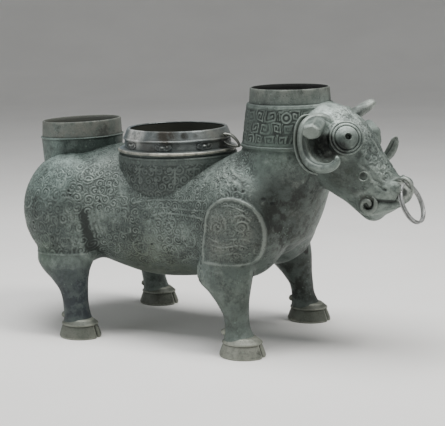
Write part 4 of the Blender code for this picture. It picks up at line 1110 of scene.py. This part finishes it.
# %% Nose ring
RING_RADIUS, RING_HALF, RING_THICK = 0.0256, 0.0029, 0.0020
RING_LEAN, RING_TURN = math.radians(24), math.radians(-4)
RING_TOP = np.array((0.2715, 0.0, 0.217))
RING_GROOVE_DEPTH, RING_GROOVE_WIDTH = 0.0007, 0.0009


def nose_ring():
    """Strip section: a superellipse, with its outer face dipped in the middle; radii beat slightly."""
    rows, columns = 180, 32
    heading = np.array((math.cos(RING_TURN), math.sin(RING_TURN), 0))
    across = np.array((-math.sin(RING_TURN), math.cos(RING_TURN), 0))
    up = -math.sin(RING_LEAN) * heading + math.cos(RING_LEAN) * UP
    axis = np.cross(across, up)
    angle = np.arange(rows) / rows * SPIN
    away = np.outer(np.cos(angle), up) + np.outer(np.sin(angle), across)
    centre = RING_TOP - up * RING_RADIUS
    turn = np.arange(columns) / columns * SPIN
    b = np.sign(np.cos(turn)) * np.abs(np.cos(turn)) ** 0.6 * RING_HALF
    h = np.sign(np.sin(turn)) * np.abs(np.sin(turn)) ** 0.6 * RING_THICK
    h = h - np.where(h > 0, RING_GROOVE_DEPTH * np.exp(-(b / RING_GROOVE_WIDTH) ** 2), 0)
    wear = 1 + 0.02 * np.sin(3 * angle) + 0.015 * np.sin(7 * angle + 1)
    points = (centre + away * RING_RADIUS)[:, None] + b[None, :, None] * axis \
        + (wear[:, None] * h)[..., None] * away[:, None]
    return skinned("ring", points, hoop=True)


ring = nose_ring()
ox_parts = [front_neck, rear_neck, seat_bowl, tail] + ears_and_horns + face + feet
pieces = [ox, pot, ring] + ox_parts + pot_parts
print("pieces made:", len(pieces))

# %% [markdown]
# ## Where dirt gathers
# Patina is darkest in grooves and thin on edges. Each point's height over its softened surroundings
# says which of the two it is, so eyes, horns and hooves get the same ageing as the drawn relief.

# %% Grooves and edges found from the form
SOFTENING_PASSES = 8
FULL_RISE = 0.0004
BARREL_AXIS_Z = 0.168


def groove_map(piece):
    """Height of each point over the mean of its surroundings, along its normal, as -1 to 1."""
    mesh = piece.data
    edges = np.empty(len(mesh.edges) * 2, dtype=np.int32)
    mesh.edges.foreach_get("vertices", edges)
    first, second = edges.reshape(-1, 2).T
    places, normals = read(mesh)
    total = len(places)
    count = np.maximum(1, np.bincount(first, minlength=total) + np.bincount(second, minlength=total))
    soft = places.copy()
    for _ in range(SOFTENING_PASSES):
        for axis in range(3):
            column = soft[:, axis]
            near = np.bincount(first, column[second], total) + np.bincount(second, column[first], total)
            soft[:, axis] = 0.4 * column + 0.6 * near / count
    rise = ((places - soft) * normals).sum(-1)
    return np.clip(rise / FULL_RISE, -1, 1)


def age(piece):
    """Store the groove map as the attribute that the patina reads, with what was stored before."""
    values = groove_map(piece)
    stored = piece.data.attributes.get("relief")
    if stored:
        before = np.empty(len(values), dtype=np.float32)
        stored.data.foreach_get("value", before)
        values = np.where(before < -2, before, np.clip(0.4 * values + 0.8 * before, -1, 1))
    else:
        stored = piece.data.attributes.new("relief", "FLOAT", "POINT")
    stored.data.foreach_set("value", values.astype(np.float32))


# The wall of the hollow faces the barrel's axis, or the middle plane in the throat
places, outward = read(ox.data)
tone, ornament = relief(places / CM, outward)[1:]
axis_height = np.where(places[:, 0] > 0.13, places[:, 2], BARREL_AXIS_Z)
away = np.stack((0 * places[:, 0], places[:, 1], places[:, 2] - axis_height), -1)
lining = ((outward * away).sum(-1) < -0.004) & (places[:, 2] > 0.1) & (places[:, 0] < 0.16)
# The wall of the hollow is marked as lining, painted near black as shade.
shaded(ox, np.where(lining, LINING, tone))
shaded(ox, np.where(lining, 0, ornament), "ornament")
for piece in pieces:
    age(piece)
print("faces in all:", sum(len(piece.data.polygons) for piece in pieces))

# %% [markdown]
# ## Shader maths as plain sums
# A shader node adds, multiplies or mixes. A small class wraps the output of a node, so that such maths
# can be written as ordinary sums, and one method adds any kind of node.

# %% Wires
class Wire:
    """Output of a shader node that can be used in sums with other outputs and with numbers."""

    def __init__(self, tree, socket):
        self.tree = tree
        self.socket = socket

    def node(self, kind, settings, values, output=0):
        """A new node: its settings first, then a number, a colour or a wire for each input."""
        made = self.tree.nodes.new(kind)
        for key, value in settings.items():
            setattr(made, key, value)
        for key, value in values.items():
            if isinstance(value, Wire):
                self.tree.links.new(value.socket, made.inputs[key])
            else:
                made.inputs[key].default_value = value
        return Wire(self.tree, made.outputs[output])

    def math(self, operation, *others):
        """A Math node whose first input is this wire."""
        return self.node("ShaderNodeMath", {"operation": operation}, dict(enumerate((self, *others))))

    def __add__(self, other):
        return self.math("ADD", other)

    def __radd__(self, other):
        return self.math("ADD", other)

    def __sub__(self, other):
        return self.math("SUBTRACT", other)

    def __mul__(self, other):
        return self.math("MULTIPLY", other)

    def __rmul__(self, other):
        return self.math("MULTIPLY", other)

    def ease(self, low, high):
        """Smooth step: 0 at low, 1 at high; low may be the larger of the two."""
        return self.node("ShaderNodeMapRange", {"interpolation_type": "SMOOTHSTEP"},
                         {"Value": self, "From Min": low, "From Max": high})

    def blend(self, low, high):
        """Colour from low to high as this wire goes from 0 to 1; inputs 6 and 7 hold the two."""
        return self.node("ShaderNodeMix", {"data_type": "RGBA"}, {0: self, 6: low, 7: high}, 2)

    def noise(self, scale, detail, rough=0.55):
        """Noise from about 0.25 to 0.75, with this wire as its place."""
        return self.node("ShaderNodeTexNoise", {}, {"Vector": self, "Scale": scale, "Detail": detail,
                                                    "Roughness": rough})

    def spots(self, scale):
        """Distance to the nearest of many scattered points, in cells."""
        return self.node("ShaderNodeTexVoronoi", {}, {"Vector": self, "Scale": scale})

    def near(self, centre, inner, outer):
        """1 within a distance of a centre, 0 beyond another."""
        gap = self.node("ShaderNodeVectorMath", {"operation": "DISTANCE"}, {0: self, 1: centre}, 1)
        return gap.ease(outer, inner)


def colour(red, green, blue):
    """Colour of a screen, 0 to 255, as linear light: (c/255)^2.2."""
    return (*((np.array((red, green, blue)) / 255) ** 2.2).tolist(), 1.0)


# %% [markdown]
# ## The patina
# Buried bronze turns grey-green in layers. A pale mineral bloom lies over a dark brown-green skin, and
# rubbed ridges shine through. Layer by layer: clouds of two sizes, tinted regions (among them painted
# light and painted shade on the head, the chest, a leg and the hooves), dark grooves, blots, green specks,
# worn edges, pits, and last the inside, near black in the ox as painted shade. The same clouds set the
# roughness and the bump.

# %% Bronze
# Each region: its centre in metres, where it starts and where it has faded, its tint and its strength
REGIONS = (
    # Painted shade under the throat: the chest below it is darkened.
    ((0.138, -0.05, 0.170), 0.035, 0.08, colour(38, 42, 38), 1.0),  # chest under the throat
    ((0.072, -0.10, 0.155), 0.02, 0.055, colour(104, 106, 99), 0.6),  # shoulder
    ((-0.165, -0.10, 0.055), 0.025, 0.06, colour(50, 56, 60), 1.1),  # near rear leg
    ((-0.06, -0.07, 0.09), 0.03, 0.075, colour(74, 80, 64), 0.6),  # belly
    ((-0.205, -0.095, 0.115), 0.008, 0.04, colour(88, 108, 90), 0.6),  # green on the thigh
    ((-0.215, -0.07, 0.225), 0.03, 0.085, colour(126, 144, 138), 0.8),  # rump
    ((-0.180, -0.030, 0.250), 0.025, 0.055, colour(60, 72, 68), 1.5),  # foot of the rear neck
    ((0.189, -0.036, 0.308), 0.004, 0.011, colour(44, 54, 56), 1.3),  # spot over the brow
    ((0.080, -0.055, 0.226), 0.015, 0.04, colour(84, 98, 92), 0.8),  # foot of the front neck
    ((0.12, -0.07, 0.275), 0.02, 0.05, colour(96, 114, 103), 0.45),  # front neck
    # Painted light on the forehead: its top is paled where light falls on it.
    ((0.198, -0.02, 0.305), 0.02, 0.05, colour(184, 196, 190), 0.9),  # forehead
    ((-0.214, 0.0, 0.288), 0.060, 0.0625, colour(118, 119, 112), 0.8),  # rear collar
    # Painted shade: near black inside the curl of the near horn, between the ear and the eye.
    ((0.186, -0.058, 0.266), 0.013, 0.025, colour(12, 15, 14), 1.6),  # hollow of the near horn
    # Painted shade on the lower left of the near eye.
    ((0.207, -0.052, 0.267), 0.006, 0.014, colour(34, 38, 36), 1.4),  # beside the eye
    ((0.176, -0.052, 0.302), 0.002, 0.012, colour(36, 44, 44), 0.7),  # root of the near horn
    ((0.246, -0.03, 0.220), 0.012, 0.04, colour(136, 146, 138), 0.5),  # side of the nose
    ((0.158, -0.07, 0.268), 0.01, 0.035, colour(56, 62, 57), 0.9),  # back of the near horn
    ((0.085, -0.095, 0.10), 0.02, 0.05, colour(84, 94, 86), 0.5),  # near forearm
    # Painted shade round the curl at the corner of the mouth.
    ((0.2345, -0.034, 0.194), 0.009, 0.017, colour(42, 46, 40), 1.2),  # corner of the mouth
    ((0.231, -0.038, 0.2315), 0.002, 0.006, colour(26, 30, 28), 1.0),  # ring on the cheek
    ((0.279, -0.004, 0.213), 0.012, 0.026, colour(158, 162, 156), 0.9),  # wall of the nose
    ((0.195, 0.080, 0.305), 0.012, 0.035, colour(158, 164, 158), 0.9),  # far ear
    ((0.224, 0.086, 0.258), 0.012, 0.03, colour(120, 126, 121), 0.8),  # tip of the far horn
    # Painted shade on the near cheek, which is turned from the light.
    ((0.205, -0.055, 0.226), 0.018, 0.042, colour(48, 54, 48), 0.9),  # cheek
    ((0.075, -0.10, 0.06), 0.02, 0.055, colour(70, 78, 72), 0.8),  # near front leg
    # Painted shade on the far front leg, under the belly.
    ((0.075, 0.10, 0.06), 0.03, 0.07, colour(46, 50, 46), 1.0),  # far front leg
    ((0.114, 0.0, 0.345), 0.045, 0.062, colour(142, 144, 136), 0.9),  # front rim
)
# Painted light and shade on the hooves: the near front hoof is paled where light falls on it, the other
# three are darkened.
HOOF_LIGHT_AND_SHADE = (
    ((0.09, -0.101, 0.01), 0.02, 0.045, colour(156, 158, 148), 0.6),
    ((0.09, 0.101, 0.01), 0.02, 0.05, colour(64, 64, 58), 0.6),
    ((-0.159, 0.104, 0.01), 0.02, 0.05, colour(52, 54, 50), 0.6),
    ((-0.159, -0.104, 0.01), 0.02, 0.045, colour(84, 86, 80), 0.5),
)
POT_REGIONS = (
    ((-0.135, -0.03, 0.262), 0.02, 0.05, colour(108, 122, 130), 0.7),  # blue-grey towards the rump
    ((0.012, -0.02, 0.272), 0.005, 0.03, colour(124, 124, 116), 0.6),  # beside the knob
    ((-0.057, 0.0, 0.2505), 0.0808, 0.0790, colour(172, 170, 156), 0.9),  # past the flange's flat
    ((0.024, 0.0, 0.262), 0.012, 0.018, colour(84, 86, 80), 1.3),  # handle
    ((-0.085, -0.065, 0.275), 0.008, 0.024, colour(206, 208, 204), 0.9),  # glint on the rim
    ((-0.034, -0.068, 0.275), 0.006, 0.020, colour(58, 56, 50), 1.3),
    ((-0.060, -0.070, 0.258), 0.006, 0.020, colour(62, 60, 54), 0.7),
    ((0.000, -0.048, 0.275), 0.003, 0.007, colour(40, 40, 36), 1.2),
    ((-0.013, -0.056, 0.2745), 0.003, 0.007, colour(44, 44, 40), 1.2),
)


def bronze(name, dark, middle, light, worn, wear=0.5, regions=REGIONS, rough=0.56,
           lining=colour(26, 27, 26)):
    """Patinated bronze from four colours, a share of worn metal, regions of other tints, some of them
    painted light and shade, and a colour for the inside.
    """
    material = bpy.data.materials.new(name)
    material.use_nodes = True
    tree = material.node_tree
    shader = tree.nodes["Principled BSDF"]
    place = Wire(tree, tree.nodes.new("ShaderNodeTexCoord").outputs["Object"])
    form = place.node("ShaderNodeAttribute", {"attribute_name": "relief"}, {}, 2)
    ornament = place.node("ShaderNodeAttribute", {"attribute_name": "ornament"}, {}, 2)
    broad, fine, grain = place.noise(14, 5), place.noise(70, 8, 0.65), place.noise(480, 4)
    crust = place.noise(210, 6, 0.7)
    clouds = (0.55 * broad + 0.45 * fine).ease(0.41, 0.59)
    tone = clouds.blend(middle, light)
    for centre, inner, outer, tint, share in regions:
        zone = place.near(centre, inner, outer) * (0.35 + fine.ease(0.38, 0.58) * 0.65)
        tone = (zone * share).blend(tone, tint)
    shadow = (form * -1.15 + (crust - 0.5) * 1.3 + (fine - 0.5) * 1.2).ease(-0.2, 0.9)
    tone = (shadow * 0.88).blend(tone, dark)
    mottle = (crust - 0.5 + (grain - 0.5) * 0.5).ease(0.02, -0.16) * (0.25 + ornament * 0.35)
    tone = mottle.blend(tone, dark)
    blots = place.noise(34, 9, 0.72).ease(0.52, 0.66)
    tone = (blots * 0.62).blend(tone, dark)
    specks = place.spots(170).ease(0.26, 0.1) * place.noise(24, 4).ease(0.5, 0.62)
    tone = (specks * 0.3).blend(tone, colour(128, 148, 136))
    rubbed = (form + (fine - 0.5) * 1.4 + (crust - 0.5) * 0.8).ease(0.3, 1.05) * wear
    tone = rubbed.blend(tone, worn)
    pits = place.spots(330).ease(0.28, 0.08) * place.noise(60, 3).ease(0.5, 0.58)
    tone = (pits * 0.7).blend(tone, dark)
    # Inside colour: near black in the ox, painted shade in the hollow, less dark just inside the rear
    # mouth; a mid grey-green in the pot.
    inside_colour_and_shade = place.near((-0.214, 0.0, 0.31), 0.055, 0.075).blend(lining, colour(92, 95, 89))
    tone = form.ease(-1.3, -2.2).blend(tone, inside_colour_and_shade)
    surface = 0.4 * fine + 0.25 * grain + (0.5 + 0.5 * ornament) * crust - 0.7 * pits
    bump = place.node("ShaderNodeBump", {}, {"Strength": 0.7, "Distance": 0.0009, "Height": surface})
    links = {"Base Color": tone, "Roughness": rough + 0.25 * (fine - 0.5) + 0.12 * shadow - 0.16 * rubbed,
             "Metallic": 0.30 + 0.35 * rubbed - 0.15 * shadow, "Normal": bump}
    for key, wire in links.items():
        tree.links.new(wire.socket, shader.inputs[key])
    return material


ox_bronze = bronze("ox patina", colour(34, 39, 37), colour(78, 87, 83), colour(114, 125, 119),
                   colour(144, 152, 145))
# A darker copy of the ox patina for the seat's bowl: painted shade under the pot's flange.
shaded_bowl_bronze = bronze("saddle patina in painted shade", colour(30, 35, 33), colour(74, 82, 79), colour(100, 109, 105),
                     colour(134, 141, 135), 0.45, ())
hoof_bronze = bronze("hoof patina", colour(44, 46, 41), colour(92, 97, 89), colour(118, 122, 112),
                     colour(146, 149, 138), regions=HOOF_LIGHT_AND_SHADE)
pot_bronze = bronze("pot patina", colour(30, 33, 33), colour(82, 88, 88), colour(112, 118, 117),
                    colour(170, 173, 166), 0.7, POT_REGIONS, 0.36, colour(80, 82, 76))
ring_bronze = bronze("ring bronze", colour(54, 55, 55), colour(132, 134, 133), colour(160, 162, 161),
                     colour(210, 211, 210), 0.8, (), 0.3)

# %% Dress the pieces
finishes = {piece: ox_bronze for piece in [ox] + ox_parts}
finishes.update({piece: hoof_bronze for piece in feet})
finishes.update({piece: pot_bronze for piece in [pot] + pot_parts})
finishes.update({seat_bowl: shaded_bowl_bronze, ring: ring_bronze})
for piece, finish in finishes.items():
    piece.data.materials.clear()
    piece.data.materials.append(finish)
    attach(piece, "root")
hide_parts("ox_vessel")
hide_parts("wine_pot")
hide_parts("nose_ring")

# %% [markdown]
# ## The studio
# A pale floor that curves up into a round wall far off, so no edge shows behind the ox from any side.
# A wide soft light hangs overhead, a smaller one stands to the upper right, and a weak cool one fills
# in from the front.

# %% Floor and lights
FLOOR_RADIUS, BEND_RADIUS, WALL_TOP = 3.5, 2.2, 3.4
FLOOR_COLUMNS = 72

sweep = [(radius, 0.0) for radius in np.linspace(0.02, FLOOR_RADIUS, 12)]
sweep += [(FLOOR_RADIUS + BEND_RADIUS * math.sin(t), BEND_RADIUS - BEND_RADIUS * math.cos(t))
          for t in np.linspace(0.1, math.pi / 2, 14)]
sweep.append((FLOOR_RADIUS + BEND_RADIUS, WALL_TOP))
grid = turned(sweep, FLOOR_COLUMNS, (0.0, 0.0))
index = np.arange(len(sweep) * FLOOR_COLUMNS).reshape(-1, FLOOR_COLUMNS)
quads = np.stack((index[:-1], np.roll(index[:-1], -1, 1), np.roll(index[1:], -1, 1), index[1:]), -1)
verts = np.vstack((grid.reshape(-1, 3), (0.0, 0.0, 0.0)))
fan = np.stack((np.roll(index[0], -1), index[0], np.full(FLOOR_COLUMNS, len(verts) - 1)), -1)
floor_mesh = bpy.data.meshes.new("studio floor")
floor_mesh.from_pydata(verts.tolist(), [], quads.reshape(-1, 4).tolist() + fan.tolist())
floor_mesh.shade_smooth()
floor = bpy.data.objects.new("studio_floor", floor_mesh)
bpy.context.scene.collection.objects.link(floor)
paper = bpy.data.materials.new("studio paper")
paper.use_nodes = True
tree = paper.node_tree
paper_place = Wire(tree, tree.nodes.new("ShaderNodeTexCoord").outputs["Object"])
paper_tone = paper_place.noise(3, 3).ease(0.3, 0.7).blend(colour(238, 237, 234), colour(243, 242, 239))
paper_shader = tree.nodes["Principled BSDF"]
tree.links.new(paper_tone.socket, paper_shader.inputs["Base Color"])
paper_shader.inputs["Roughness"].default_value = 0.9
floor.data.materials.append(paper)


def softbox(name, place, target, size, power, tint=(1, 1, 1)):
    """Square soft light at a place, turned to face a target."""
    lamp = bpy.data.objects.new(name, bpy.data.lights.new(name, "AREA"))
    lamp.data.energy = power
    lamp.data.size = size
    lamp.data.color = tint
    back = unit(np.asarray(place, dtype=float) - target)
    over = unit(np.cross((0.0, 1.0, 0.01), back))
    lamp.matrix_world = Matrix((over, np.cross(back, over), back)).transposed().to_4x4()
    lamp.matrix_world.translation = place
    bpy.context.scene.collection.objects.link(lamp)


softbox("overhead", (-0.25, -0.1, 1.8), (0, 0, 0.15), 1.1, 36)
softbox("upper right", (1.0, 0.0, 1.8), (0.1, 0, 0.2), 0.6, 26, (1.0, 0.985, 0.96))
softbox("front fill", (-1.5, -1.8, 0.9), (0, 0, 0.15), 1.2, 9, (0.96, 0.98, 1.0))
world = bpy.data.worlds.new("studio")
world.use_nodes = True
background = world.node_tree.nodes["Background"]
background.inputs["Color"].default_value = (0.82, 0.84, 0.86, 1)
background.inputs["Strength"].default_value = 0.27
bpy.context.scene.world = world
